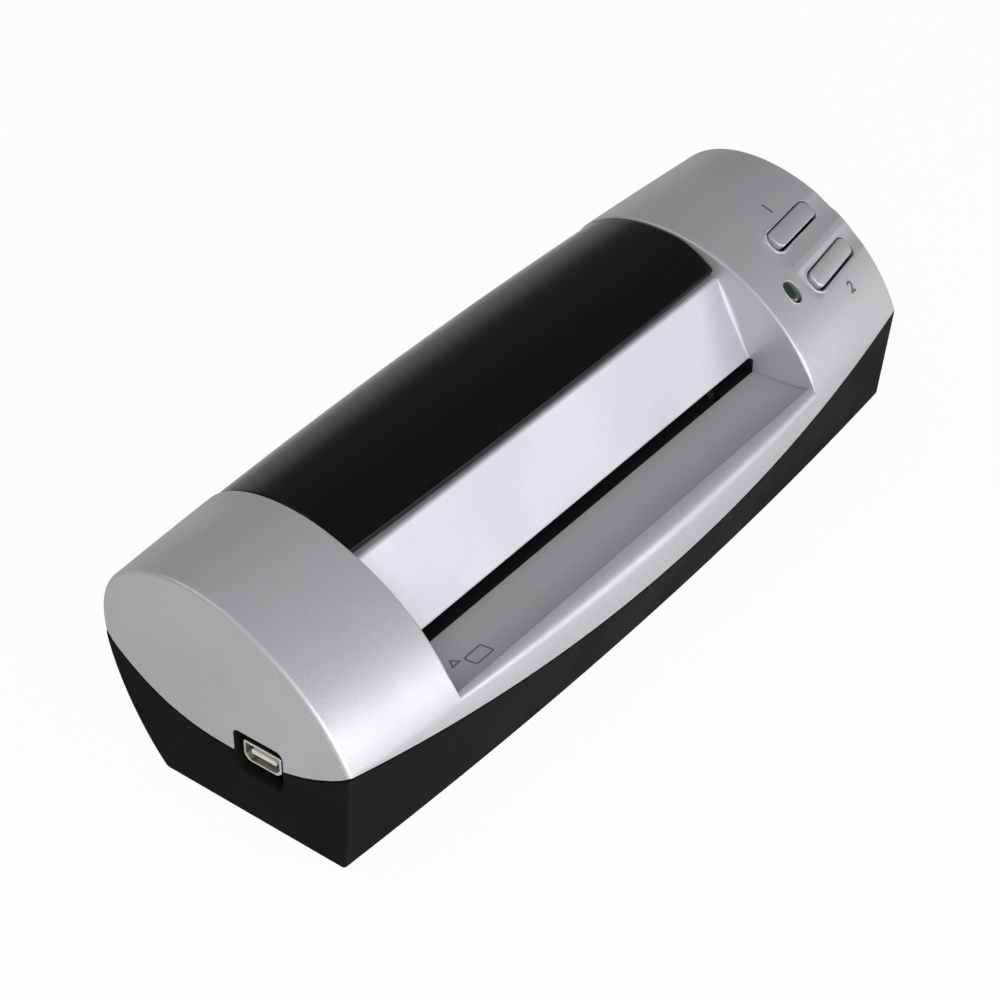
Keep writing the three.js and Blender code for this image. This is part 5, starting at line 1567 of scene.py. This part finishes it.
@dataclass
class Socket:
    """USB mini receptacle: a folded metal shell and its insulator with the tongue."""

    width: float = 7.7
    height: float = 4.0
    length: float = 8.6
    sheet: float = 0.4
    start: float = -78.7
    middle: Span = (-6.3072, 14.0)
    chamfer: float = 0.9
    bend_outer: float = 0.45
    bend_inner: float = 0.25
    bend_steps: int = 4
    mouth_edge: float = 0.12
    mouth_reach: float = 3.0
    edge: float = 0.1
    gap: float = 0.3
    block_length: float = 2.4
    tongue_size: Span = (5.0, 0.9)
    tongue_corner: float = 0.25
    tongue_steps: int = 3
    tongue_lap: float = 1.0
    frame_setback: float = 0.12
    frame_gap: float = 0.03
    frame_thickness: float = 0.3
    frame_spare: float = 1.0

    def outline(self, inset: float) -> Array:
        """The receptacle's section: a rectangle whose lower corners step in, with every bend rounded."""
        half, low, chamfer = self.width / 2 - inset, self.height / 2 - inset, self.chamfer
        ring = np.array([
            [-half, chamfer - low],
            [-half, low],
            [half, low],
            [half, chamfer - low],
            [half - chamfer, -low],
            [chamfer - half, -low],
        ])
        reach = self.bend_outer if inset == 0 else self.bend_inner
        ring = soften(ring[None], dict.fromkeys(range(len(ring)), reach), self.bend_steps)[0]
        return ring + np.array(self.middle)

    def build(self) -> tuple[Thing, Thing]:
        """The metal shell, hollow and rounded at its mouth, and the insulator inside it.

        Returns:
            The finished shell and insulator.
        """
        end = self.start + self.length
        outer = workshop.prism_x("shell", self.outline(0), (self.start, end), self.mouth_edge)
        span = (self.start - self.mouth_reach, end - self.sheet)
        inner = workshop.prism_x("hollow", self.outline(self.sheet), span)
        shell = workshop.change(outer, Cut.TAKE, inner)
        shell = workshop.deliver(shell, "socket_shell", "tin_plate", "usb_shell")
        back = end - self.sheet - self.gap
        section = self.outline(self.sheet + self.gap)
        block = workshop.prism_x("block", section, (back - self.block_length, back), self.edge)
        ring = rounded_rectangle(*self.tongue_size, self.tongue_corner, self.tongue_steps)[::-1]
        reach = (self.start + self.gap, back - self.tongue_lap)
        tongue = workshop.prism_x("tongue", ring + np.array(self.middle), reach, self.edge)
        insulator = workshop.change(block, Cut.JOIN, tongue)
        insulator = workshop.deliver(insulator, "socket_tongue", "white_plastic", "usb_insulator")
        return shell, insulator

    def frame(self, notch: Array) -> Thing:
        """Thin black lining of the notch round the receptacle, which paints the shade on the notch's wall.

        Args:
            notch: The notch's outline.

        Returns:
            The finished lining.
        """
        low, high = -case.half_length + self.frame_setback, -case.half_length + case.wall + case.fit
        rim = workshop.prism_x("frame", inset_closed(notch, self.frame_gap), (low, high))
        through = (low - self.frame_spare, high + self.frame_spare)
        inner = workshop.prism_x("inside", inset_closed(notch, self.frame_thickness), through)
        rim = workshop.change(rim, Cut.TAKE, inner)
        # The black lining is painted shade on the notch's wall
        return workshop.deliver(rim, "socket_frame", "black_plastic")


@dataclass
class BowSpring:
    """Leaf spring over a bar that lifts, kept in the imported spring's shape."""

    bar: str
    bar_lift: float = 0.5
    rest_gap: float = 0.3
    spare: float = 0.06

    def build(self) -> Thing:
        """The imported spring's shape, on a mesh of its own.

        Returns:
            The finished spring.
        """
        node = self.bar + "_spring"
        name = self.bar.split("_")[0] + "_bow_spring"
        spring = workshop.deliver(workshop.copy_node(node), name, "spring_steel", node)
        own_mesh(spring)
        return spring


@dataclass
class Underside:
    """Rubber feet with bevelled rims and screws with cross recesses."""

    axis_radius: float = 0.02
    turn_points: int = 7
    foot_radius: float = 3.5
    foot_heights: Span = (-0.8, 0.8)
    foot_rim: float = 0.45
    foot_bevel: float = 0.1
    dish: tuple[Span, ...] = ((0.45, 0.2), (0.62, 0.04))
    dish_middle: float = 0.22
    foot_sides: int = 48
    head_radius: float = 2.0
    head_height: float = 1.3
    head_top: float = 3.3
    head_rim: float = 0.5
    shank_radius: float = 1.1
    shank_top: float = 17.5
    thread_depth: float = 0.25
    thread_margins: Span = (2.0, 0.8)
    thread_points: int = 49
    screw_sides: int = 32
    cross_half: float = 1.15
    cross_slot: float = 0.22
    cross_depth: float = 0.75
    cross_spare: float = 1.0

    @staticmethod
    def turned(name: str, profile: Array, middle: Span, count: int) -> Thing:
        """A profile of (radius, height) turned about a vertical axis: every point goes round in a circle."""
        angle = np.linspace(0, 2 * math.pi, count, endpoint=False)
        ring = np.stack([np.cos(angle), np.sin(angle)], -1)
        points = np.concatenate([
            ring[None] * profile[:, :1, None] + np.asarray(middle),
            np.broadcast_to(profile[:, 1:, None], (len(profile), count, 1)),
        ], -1)
        return workshop.loft(name, points)

    def rim(self, radius: float, low: float, bend: float) -> Array:
        """Profile of a rounded lower rim: a quarter circle from the lower face up to the side."""
        angle = np.linspace(0, math.pi / 2, self.turn_points)
        return np.stack([radius - bend + bend * np.sin(angle), low + bend - bend * np.cos(angle)], -1)

    def feet(self) -> None:
        """The four feet, each a disc with a rounded lower rim and a shallow dished face."""
        low, high = self.foot_heights
        radius = self.foot_radius
        dish = [[self.axis_radius, low + self.dish_middle]]
        dish += [[radius * share, low + rise] for share, rise in self.dish]
        top = [[radius, high - self.foot_bevel], [radius - self.foot_bevel, high], [self.axis_radius, high]]
        profile = np.concatenate([dish, self.rim(radius, low, self.foot_rim), top])
        for corner in CORNERS:
            foot = self.turned("foot", profile, middle_of("foot_" + corner), self.foot_sides)
            workshop.deliver(foot, "rubber_foot_" + corner, "rubber", "foot_" + corner)

    def screws(self) -> None:
        """The four screws: pan head, cross recess and a shank with a ribbed thread."""
        low = self.head_top - self.head_height
        start, stop = self.thread_margins
        heights = np.linspace(self.head_top + start, self.shank_top - stop, self.thread_points)
        ribs = self.shank_radius - self.thread_depth * (np.arange(self.thread_points) % 2)
        profile = np.concatenate([
            [[self.axis_radius, low]],
            self.rim(self.head_radius, low, self.head_rim),
            [[self.head_radius, self.head_top], [self.shank_radius - self.thread_depth, self.head_top]],
            np.stack([ribs, heights], -1),
            [[self.axis_radius, self.shank_top]],
        ])
        depth = (low - self.cross_spare, low + self.cross_depth)
        for corner in CORNERS:
            x, y = middle_of("case_screw_" + corner)
            screw = self.turned("screw", profile, (x, y), self.screw_sides)
            arms = [
                workshop.box("slot", (x - long, x + long), (y - short, y + short), depth)
                for long, short in ((self.cross_half, self.cross_slot), (self.cross_slot, self.cross_half))
            ]
            screw = workshop.change(screw, Cut.TAKE, *arms)
            workshop.deliver(screw, "cross_screw_" + corner, "steel", "case_screw_" + corner)


@dataclass
class Marks:
    """Plain printed marks: a number beside each button, and a card's outline with an arrow on the tray."""

    number_size: float = 3.2
    numbers: tuple[tuple[str, float, float], ...] = (("1", 65.6, 21.6), ("2", 68.2, 0.9))
    ink: float = 0.03
    bold: float = 0.09
    line: float = 0.32
    line_step: float = 0.7
    line_sink: float = 0.05
    card: Span = (4.6, 3.0)
    card_corner: float = 0.6
    card_steps: int = 6
    card_middle: Span = (-44.3, -21.7)
    arrow: tuple[Span, ...] = ((0.0, 1.0), (-1.2, -0.8), (1.2, -0.8))
    arrow_middle: Span = (-48.2, -19.6)

    def number(self, text: str, x: float, climb: float) -> Thing:
        """A number laid on the skin: its flat letter shape is raised by the skin's height at each point.

        Args:
            text: The number.
            x: Station of its left edge.
            climb: Its foot, up the slope.

        Returns:
            The number's mesh object.
        """
        curve = bpy.data.curves.new("number", "FONT")
        curve.body = text
        curve.size = self.number_size
        curve.extrude = self.ink / 2
        curve.offset = self.bold
        letter = link("number", curve)
        mesh = evaluated_mesh(letter)
        bpy.data.objects.remove(letter)
        flat = read(mesh.vertices, "co", width=3)
        there_x, there_climb = x + flat[:, 0], climb + flat[:, 1]
        rise = slope.rise_of_skin(there_x, there_climb) + flat[:, 2] + self.ink / 2
        mesh.vertices.foreach_set("co", slope.space(there_x, there_climb, rise).astype(np.float32).ravel())
        return workshop.closed("number", mesh)

    def line_round(self, ring: Array, middle: Span) -> Thing:
        """A printed line along a closed outline, laid on the tray.

        Args:
            ring: Outline in (x, y) round the mark's middle, counterclockwise.
            middle: The mark's middle.

        Returns:
            The line: four rings round its own section, each joined to the next by quads.
        """
        outer = refine(ring, self.line_step)
        inner = inset_closed(outer, -self.line)
        low, high = -self.line_sink, self.ink
        rings = []
        for flat, lift in ((outer, low), (outer, high), (inner, high), (inner, low)):
            spot = flat + np.asarray(middle)
            rings.append(np.column_stack([spot, FeedTray().height(spot[:, 1]) + lift]))
        return workshop.hoop("line", np.stack(rings))

    def build(self) -> None:
        """The numbers and the tray's marks."""
        numbers = workshop.gather("numbers", *(self.number(*number) for number in self.numbers))
        workshop.deliver(numbers, "button_numbers", "silver_plastic", finish="mark_ink")
        card = rounded_rectangle(*self.card, self.card_corner, self.card_steps)
        marks = workshop.gather(
            "marks", self.line_round(card, self.card_middle),
            self.line_round(np.array(self.arrow), self.arrow_middle))
        workshop.deliver(marks, "tray_marks", "grey_plastic", finish="mark_ink")


# Finishes

Colour = tuple[float, float, float]

# Places of a Mix node's colours among its sockets, which share their names with those of other kinds
MIX_FIRST, MIX_SECOND, MIX_RESULT = 6, 7, 2


@dataclass(frozen=True)
class Noise:
    """One noise texture, and the range of its value that counts from nothing to all."""

    detail: float
    roughness: float
    low: float = 0.0
    high: float = 1.0
    scale: float = 0.0
    distortion: float = 0.0


class Wiring:
    """Short ways to add and join nodes in one tree."""

    def __init__(self, tree: bpy.types.NodeTree) -> None:
        """Starts on a tree."""
        self.tree = tree

    @classmethod
    def blank(cls, owner: bpy.types.ID) -> Wiring:
        """Starts on the emptied tree of a material or a world."""
        owner.use_nodes = True
        owner.node_tree.nodes.clear()
        return cls(owner.node_tree)

    def node(self, kind: str, **settings: object) -> bpy.types.Node:
        """A new node with its settings; an input's name with a value sets that input."""
        node = self.tree.nodes.new("ShaderNode" + kind if not kind.startswith("NodeGroup") else kind)
        for key, value in settings.items():
            if hasattr(node, key):
                setattr(node, key, value)
            else:
                self.feed(node.inputs[key.replace("_", " ")], value)
        return node

    def feed(self, socket: Wire, value: object) -> None:
        """Joins a socket to another, or sets it to a value."""
        if isinstance(value, Wire):
            self.tree.links.new(value, socket)
        else:
            socket.default_value = value

    def maths(self, operation: str, first: object, second: object) -> Wire:
        """Result of a mathematical operation on two values."""
        node = self.node("Math", operation=operation)
        self.feed(node.inputs[0], first)
        self.feed(node.inputs[1], second)
        return node.outputs[0]

    def ramp(self, value: Wire, low: float, high: float, to_low: float = 0.0, to_high: float = 1.0) -> Wire:
        """A value carried from one range to another by a smooth step."""
        node = self.node("MapRange", interpolation_type="SMOOTHSTEP", Value=value)
        for name, given in (("From Min", low), ("From Max", high), ("To Min", to_low), ("To Max", to_high)):
            self.feed(node.inputs[name], given)
        return node.outputs[0]

    def blend(self, share: object, first: object, second: object) -> Wire:
        """Two colours mixed by a share."""
        node = self.node("Mix", data_type="RGBA")
        self.feed(node.inputs[0], share)
        self.feed(node.inputs[MIX_FIRST], first)
        self.feed(node.inputs[MIX_SECOND], second)
        return node.outputs[MIX_RESULT]

    def noise(self, noise: Noise, place: Wire, scale: Wire | None = None) -> Wire:
        """Value of a noise at a place, at its own scale or at a given one."""
        node = self.node("TexNoise", Vector=place, Scale=noise.scale if scale is None else scale,
                         Detail=noise.detail, Roughness=noise.roughness, Distortion=noise.distortion)
        return node.outputs[0]


@dataclass(frozen=True)
class Surface:
    """Node group for tone and texture: mottling, grain, metal flakes, dust, smudges, and edges lightened for
    wear and as a painted highlight.
    """

    inputs: tuple[tuple[str, str], ...] = (
        ("Place", "Vector"), ("Mottle Scale", "Float"), ("Grain Scale", "Float"), ("Flake Scale", "Float"),
        ("Stretch", "Vector"))
    outputs: tuple[str, ...] = ("Mottle", "Grain", "Flake", "Dust", "Edge", "Smudge")
    mottle: Noise = Noise(detail=3.0, roughness=0.55, low=0.3, high=0.7)
    grain: Noise = Noise(detail=2.0, roughness=0.6)
    grain_share: float = 0.6
    pit_share: float = 0.55
    lint: Noise = Noise(detail=4.0, roughness=0.7, low=0.56, high=0.74, scale=900.0)
    smudge: Noise = Noise(detail=5.0, roughness=0.6, low=0.42, high=0.72, scale=34.0, distortion=0.6)
    upward: Span = (0.2, 1.0)
    # Pointiness of the edges that are lightened, partly for wear and partly as a painted highlight
    edge: Span = (0.52, 0.60)

    def tree(self) -> bpy.types.NodeTree:
        """Builds the group.

        Returns:
            The node tree, made once for all finishes.
        """
        tree = bpy.data.node_groups.new("surface", "ShaderNodeTree")
        for name, kind in self.inputs:
            tree.interface.new_socket(name, in_out="INPUT", socket_type="NodeSocket" + kind)
        for name in self.outputs:
            tree.interface.new_socket(name, in_out="OUTPUT", socket_type="NodeSocketFloat")
        w = Wiring(tree)
        given = w.node("NodeGroupInput").outputs
        out = w.node("NodeGroupOutput").inputs
        stretched = w.node("VectorMath", operation="MULTIPLY")
        w.feed(stretched.inputs[0], given["Place"])
        w.feed(stretched.inputs[1], given["Stretch"])
        spot = stretched.outputs[0]
        mottle = w.noise(self.mottle, spot, given["Mottle Scale"])
        w.feed(out["Mottle"], w.ramp(mottle, self.mottle.low, self.mottle.high))
        grain = w.maths("MULTIPLY", w.noise(self.grain, spot, given["Grain Scale"]), self.grain_share)
        pits = w.node("TexVoronoi", Vector=spot, Scale=given["Grain Scale"]).outputs["Distance"]
        w.feed(out["Grain"], w.maths("ADD", grain, w.maths("MULTIPLY", pits, self.pit_share)))
        flake = w.node("TexVoronoi", Vector=spot, Scale=given["Flake Scale"]).outputs["Color"]
        w.feed(out["Flake"], w.node("SeparateColor", Color=flake).outputs[0])
        geometry = w.node("NewGeometry").outputs
        upward = w.ramp(w.node("SeparateXYZ", Vector=geometry["Normal"]).outputs["Z"], *self.upward)
        lint = w.ramp(w.noise(self.lint, given["Place"]), self.lint.low, self.lint.high)
        w.feed(out["Dust"], w.maths("MULTIPLY", upward, lint))
        # Pointy edges, which the finishes lighten partly for wear and partly as a painted edge highlight
        w.feed(out["Edge"], w.ramp(geometry["Pointiness"], *self.edge))
        smudge = w.noise(self.smudge, given["Place"])
        w.feed(out["Smudge"], w.ramp(smudge, self.smudge.low, self.smudge.high))
        return tree


def linear(red: int, green: int, blue: int) -> Colour:
    """A screen colour from 0 to 255 as scene-linear shares, by the sRGB curve."""
    values = np.array([red, green, blue]) / 255
    return tuple(np.where(values <= 0.04045, values / 12.92, ((values + 0.055) / 1.055) ** 2.4).tolist())


@dataclass(frozen=True)
class Finish:
    """One finish: its colours, its gloss and the scale and depth of its texture."""

    name: str
    colour: Colour
    second: Colour
    roughness: float = 0.5
    rough_span: float = 0.06
    metallic: float = 0.0
    specular: float = 0.5
    coat: float = 0.0
    coat_roughness: float = 0.1
    mottle_scale: float = 60.0
    mottle_share: float = 0.5
    grain_scale: float = 2500.0
    grain_depth: float = 0.02
    flake_scale: float = 5000.0
    flake_share: float = 0.0
    stretch: tuple[float, float, float] = (1.0, 1.0, 1.0)
    dust: float = 0.0
    dust_colour: Colour = (0.62, 0.61, 0.58)
    wear_and_highlight: float = 0.0
    wear_and_highlight_colour: Colour = (0.5, 0.5, 0.5)
    smudge: float = 0.0
    transmission: float = 0.0

    def material(self) -> bpy.types.Material:
        """The material, made the first time that it is asked for."""
        ready = bpy.data.materials.get(self.name + "_finish")
        return ready or self.make()

    def make(self) -> bpy.types.Material:
        """Builds the material round one Principled shader.

        Returns:
            The new material.
        """
        material = bpy.data.materials.new(self.name + "_finish")
        w = Wiring.blank(material)
        surface = w.node("Group", node_tree=SURFACE)
        w.feed(surface.inputs["Place"], w.node("TexCoord").outputs["Object"])
        for name, value in (("Mottle Scale", self.mottle_scale), ("Grain Scale", self.grain_scale),
                            ("Flake Scale", self.flake_scale), ("Stretch", self.stretch)):
            w.feed(surface.inputs[name], value)
        given = surface.outputs
        share = w.maths("MULTIPLY", given["Mottle"], self.mottle_share)
        colour = w.blend(share, (*self.colour, 1), (*self.second, 1))
        if self.flake_share:
            bright = w.ramp(given["Flake"], 0.0, 1.0, 1 - self.flake_share, 1 + self.flake_share)
            node = w.node("VectorMath", operation="SCALE")
            w.feed(node.inputs[0], colour)
            w.feed(node.inputs["Scale"], bright)
            colour = node.outputs[0]
        # Lighter convex edges: partly wear, partly a painted highlight on the edges
        if self.wear_and_highlight:
            share = w.maths("MULTIPLY", given["Edge"], self.wear_and_highlight)
            colour = w.blend(share, colour, (*self.wear_and_highlight_colour, 1))
        if self.dust:
            share = w.maths("MULTIPLY", given["Dust"], self.dust)
            colour = w.blend(share, colour, (*self.dust_colour, 1))
        half = self.rough_span / 2
        rough = w.ramp(given["Mottle"], 0.0, 1.0, self.roughness - half, self.roughness + half)
        if self.smudge:
            rough = w.maths("ADD", rough, w.maths("MULTIPLY", given["Smudge"], self.smudge))
        bump = w.node("Bump", Height=given["Grain"], Strength=1.0, Distance=self.grain_depth * METRES)
        shader = w.node("BsdfPrincipled")
        for name, value in (
                ("Base Color", colour), ("Roughness", rough), ("Metallic", self.metallic),
                ("Specular IOR Level", self.specular), ("Coat Weight", self.coat),
                ("Coat Roughness", self.coat_roughness), ("Transmission Weight", self.transmission),
                ("Normal", bump.outputs[0])):
            w.feed(shader.inputs[name], value)
        w.feed(w.node("OutputMaterial").inputs["Surface"], shader.outputs[0])
        return material


SURFACE = Surface().tree()
FINISHES = {finish.name: finish for finish in (
    Finish("silver_plastic", linear(190, 190, 193), linear(180, 180, 184), roughness=0.42, metallic=0.45,
           mottle_scale=45, grain_scale=3200, grain_depth=0.012, flake_scale=7000, flake_share=0.05,
           dust=0.06, wear_and_highlight=0.1, wear_and_highlight_colour=linear(225, 225, 228)),
    # The guide plate's finish is the silver paint made lighter and bluer: the extra lightness and blue are
    # painted light
    Finish("bright_silver_plastic", linear(199, 198, 206), linear(192, 191, 199), roughness=0.46,
           metallic=0.25, mottle_scale=40, grain_scale=3600, grain_depth=0.008, flake_scale=8000,
           flake_share=0.04, dust=0.06),
    Finish("black_plastic", linear(25, 26, 24), linear(20, 21, 19), roughness=0.7, rough_span=0.1,
           specular=0.04, mottle_scale=70, grain_scale=3000, grain_depth=0.03, dust=0.03, wear_and_highlight=0.05,
           wear_and_highlight_colour=linear(60, 60, 60)),
    Finish("gloss_black_plastic", linear(9, 10, 8), linear(7, 8, 6), roughness=0.12, rough_span=0.04,
           specular=0.18, mottle_scale=30, grain_scale=260, grain_depth=0.004, dust=0.01, smudge=0.10),
    Finish("grey_plastic", linear(164, 165, 167), linear(156, 158, 159), roughness=0.6, mottle_scale=55,
           grain_scale=2600, grain_depth=0.03, dust=0.05),
    Finish("mark_ink", linear(92, 93, 96), linear(86, 87, 90), roughness=0.55, grain_scale=2600),
    Finish("inner_black_plastic", linear(12, 12, 13), linear(9, 9, 10), roughness=0.75, specular=0.2),
    Finish("white_plastic", linear(232, 230, 222), linear(222, 220, 210), roughness=0.45, grain_depth=0.006),
    Finish("cable_plastic", linear(230, 232, 236), linear(214, 217, 222), roughness=0.3, grain_depth=0.004,
           mottle_scale=900, stretch=(0.05, 1.0, 1.0)),
    Finish("board", linear(18, 96, 52), linear(10, 72, 40), roughness=0.4, mottle_scale=700,
           mottle_share=0.8, grain_scale=1500, grain_depth=0.01, coat=0.3),
    Finish("steel", linear(188, 189, 191), linear(170, 171, 174), roughness=0.3, metallic=1.0,
           mottle_scale=1800, grain_scale=4000, grain_depth=0.003, stretch=(0.04, 1.0, 1.0)),
    Finish("zinc_steel", linear(196, 199, 202), linear(176, 180, 186), roughness=0.38, metallic=1.0,
           mottle_scale=500, mottle_share=0.8, grain_depth=0.004),
    Finish("spring_steel", linear(150, 151, 155), linear(132, 133, 138), roughness=0.28, metallic=1.0,
           mottle_scale=2200, grain_depth=0.002, stretch=(0.03, 1.0, 1.0)),
    Finish("tin_plate", linear(214, 211, 206), linear(196, 193, 188), roughness=0.24, metallic=1.0,
           mottle_scale=600, grain_scale=2600, grain_depth=0.004, smudge=0.1),
    Finish("rubber", linear(38, 38, 38), linear(30, 30, 30), roughness=0.85, specular=0.3, grain_scale=3400,
           grain_depth=0.04, dust=0.2),
    Finish("roller_rubber", linear(62, 62, 66), linear(52, 52, 56), roughness=0.8, specular=0.3,
           grain_scale=5200, stretch=(0.2, 1.0, 1.0)),
    Finish("green_lens", linear(14, 48, 28), linear(10, 36, 21), roughness=0.18, coat=0.6,
           coat_roughness=0.05, mottle_scale=900, grain_scale=1200, grain_depth=0.006),
    Finish("sensor_glass", linear(226, 232, 232), linear(220, 228, 228), roughness=0.04, rough_span=0.02,
           transmission=0.9, grain_depth=0.0005),
)}


def dress_packed_nodes() -> None:
    """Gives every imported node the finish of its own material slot."""
    for node in frame["nodes"].values():
        for slot in node.material_slots:
            name = slot.material.name.split(".")[0]
            if name in FINISHES:
                slot.material = FINISHES[name].material()


# Stage, light and camera

@dataclass(frozen=True)
class Lamp:
    """A soft rectangular lamp: its place in degrees and metres, its size in metres, its power in watts."""

    name: str
    azimuth: float
    elevation: float
    distance: float
    size: Span
    power: float


@dataclass
class Stage:
    """Plain pale floor and background, soft studio light and the camera."""

    azimuth: float = -52.51
    elevation: float = 38.14
    distance: float = 0.45088
    aim: tuple[float, float, float] = (-0.00642, 0.00311, 0.0158)
    lens: float = 94.19
    film: float = 36.0
    clip: Span = (0.01, 20.0)
    floor_size: float = 3.0
    floor_grey: float = 0.74
    floor_seen: float = 0.96
    floor_mirrored: float = 0.48
    sky: float = 0.26
    sky_colour: Colour = (0.97, 0.98, 1.0)
    backdrop_grey: float = 0.975
    backdrop_top: Span = (0.17, 0.42)
    backdrop_mirrored: float = 0.6
    lamps: tuple[Lamp, ...] = (
        Lamp("key", -28, 17, 0.44, (0.4, 0.2), 1.3),
        Lamp("front", 26, 12, 0.9, (0.6, 0.3), 2.15),
        Lamp("top", -150, 66, 0.9, (0.7, 0.6), 1.5),
        Lamp("left", -70, 36, 1.0, (0.5, 0.4), 0.9),
    )

    @staticmethod
    def face(thing: Thing, azimuth: float, elevation: float, distance: float, aim: Vector) -> None:
        """Puts a camera or a lamp round a point, and turns it to the point.

        Args:
            thing: The camera or lamp.
            azimuth: Direction round the point in degrees, 0 in front of it.
            elevation: Direction above the floor in degrees.
            distance: Distance from the point in metres.
            aim: The point.
        """
        turn, climb = math.radians(azimuth), math.radians(elevation)
        back = Vector((math.sin(turn) * math.cos(climb), -math.cos(turn) * math.cos(climb), math.sin(climb)))
        thing.location = aim + back * distance
        thing.rotation_euler = back.to_track_quat("Z", "Y").to_euler()

    def camera(self) -> None:
        """Puts the camera on the line of sight of the photograph."""
        data = bpy.data.cameras.new("camera")
        data.lens = self.lens
        data.sensor_width = self.film
        data.sensor_fit = "HORIZONTAL"
        data.clip_start, data.clip_end = self.clip
        camera = link("camera", data)
        self.face(camera, self.azimuth, self.elevation, self.distance, Vector(self.aim))
        bpy.context.scene.camera = camera

    def light(self, lamp: Lamp) -> None:
        """Adds a lamp that faces the object."""
        data = bpy.data.lights.new(lamp.name, "AREA")
        data.shape = "RECTANGLE"
        data.size, data.size_y = lamp.size
        data.energy = lamp.power
        self.face(link(lamp.name, data), lamp.azimuth, lamp.elevation, lamp.distance, Vector())

    def floor(self) -> None:
        """Pale floor whose own colour shows nearly white to the camera and keeps the shadow."""
        half = self.floor_size / 2
        corners = [(-half, -half, 0), (half, -half, 0), (half, half, 0), (-half, half, 0)]
        mesh = bpy.data.meshes.new("floor")
        mesh.from_pydata(corners, [], [(0, 1, 2, 3)])
        floor = link("floor", mesh)
        material = bpy.data.materials.new("pale_floor")
        w = Wiring.blank(material)
        plain = w.node("BsdfDiffuse", Color=(*[self.floor_grey] * 3, 1))
        bright = w.node("Emission", Color=(1, 1, 1, 1), Strength=1.0)
        path = w.node("LightPath").outputs
        seen = w.maths("MAXIMUM", path["Is Camera Ray"], path["Is Transmission Ray"])
        mirrored = w.maths("MULTIPLY", path["Is Glossy Ray"], self.floor_mirrored)
        seen = w.maths("MAXIMUM", w.maths("MULTIPLY", seen, self.floor_seen), mirrored)
        self.mix(w, seen, plain, bright, "OutputMaterial")
        mesh.materials.append(material)
        floor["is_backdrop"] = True

    def world(self) -> None:
        """Soft sky light, shown white to the camera."""
        world = bpy.data.worlds.new("studio")
        bpy.context.scene.world = world
        w = Wiring.blank(world)
        path = w.node("LightPath").outputs
        mirrored = w.maths("MULTIPLY", path["Is Glossy Ray"], self.backdrop_mirrored)
        seen = w.maths("MAXIMUM", path["Is Camera Ray"], mirrored)
        seen = w.maths("MAXIMUM", seen, path["Is Transmission Ray"])
        climb = w.node("SeparateXYZ", Vector=w.node("TexCoord").outputs["Generated"]).outputs["Z"]
        seen = w.maths("MULTIPLY", seen, w.ramp(climb, *self.backdrop_top, 1.0, 0.0))
        soft = w.node("Background", Color=(*self.sky_colour, 1), Strength=self.sky)
        white = w.node("Background", Color=(*[self.backdrop_grey] * 3, 1), Strength=1.0)
        self.mix(w, seen, soft, white, "OutputWorld")

    @staticmethod
    def mix(w: Wiring, share: Wire, first: bpy.types.Node, second: bpy.types.Node, output: str) -> None:
        """Ends a tree in two shaders mixed by a share."""
        mix = w.node("MixShader")
        for socket, value in zip(mix.inputs, (share, first.outputs[0], second.outputs[0])):
            w.feed(socket, value)
        w.feed(w.node(output).inputs["Surface"], mix.outputs[0])

    def build(self) -> None:
        """Sets up the floor, the light, the camera and the view."""
        self.floor()
        self.world()
        for lamp in self.lamps:
            self.light(lamp)
        self.camera()
        bpy.context.scene.view_settings.view_transform = "Standard"


def write_sizes() -> None:
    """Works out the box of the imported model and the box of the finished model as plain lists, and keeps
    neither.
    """
    boxes = {"cad": CAD_BOX, "visual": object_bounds()}
    {name: [list(corner) for corner in box] for name, box in boxes.items()}


def main() -> None:
    """Builds every piece in order."""
    logging.basicConfig(level=logging.INFO, format="%(message)s")
    dress_packed_nodes()
    shell = TopShell()
    shell.build()
    shell.lips()
    BaseShell().build()
    TopPanel().build()
    GuidePlate().build()
    FeedTray().build()
    for place in BUTTONS:
        BarButton(place).build()
    StatusLens().build()
    socket = Socket()
    socket.build()
    socket.frame(shell.notch_outline())
    Marks().build()
    for bar in ("front_pinch", "rear_pinch", "pressure_bar"):
        BowSpring(bar).build()
    under = Underside()
    under.feet()
    under.screws()
    Stage().build()
    write_sizes()


if __name__ == "__main__":
    main()
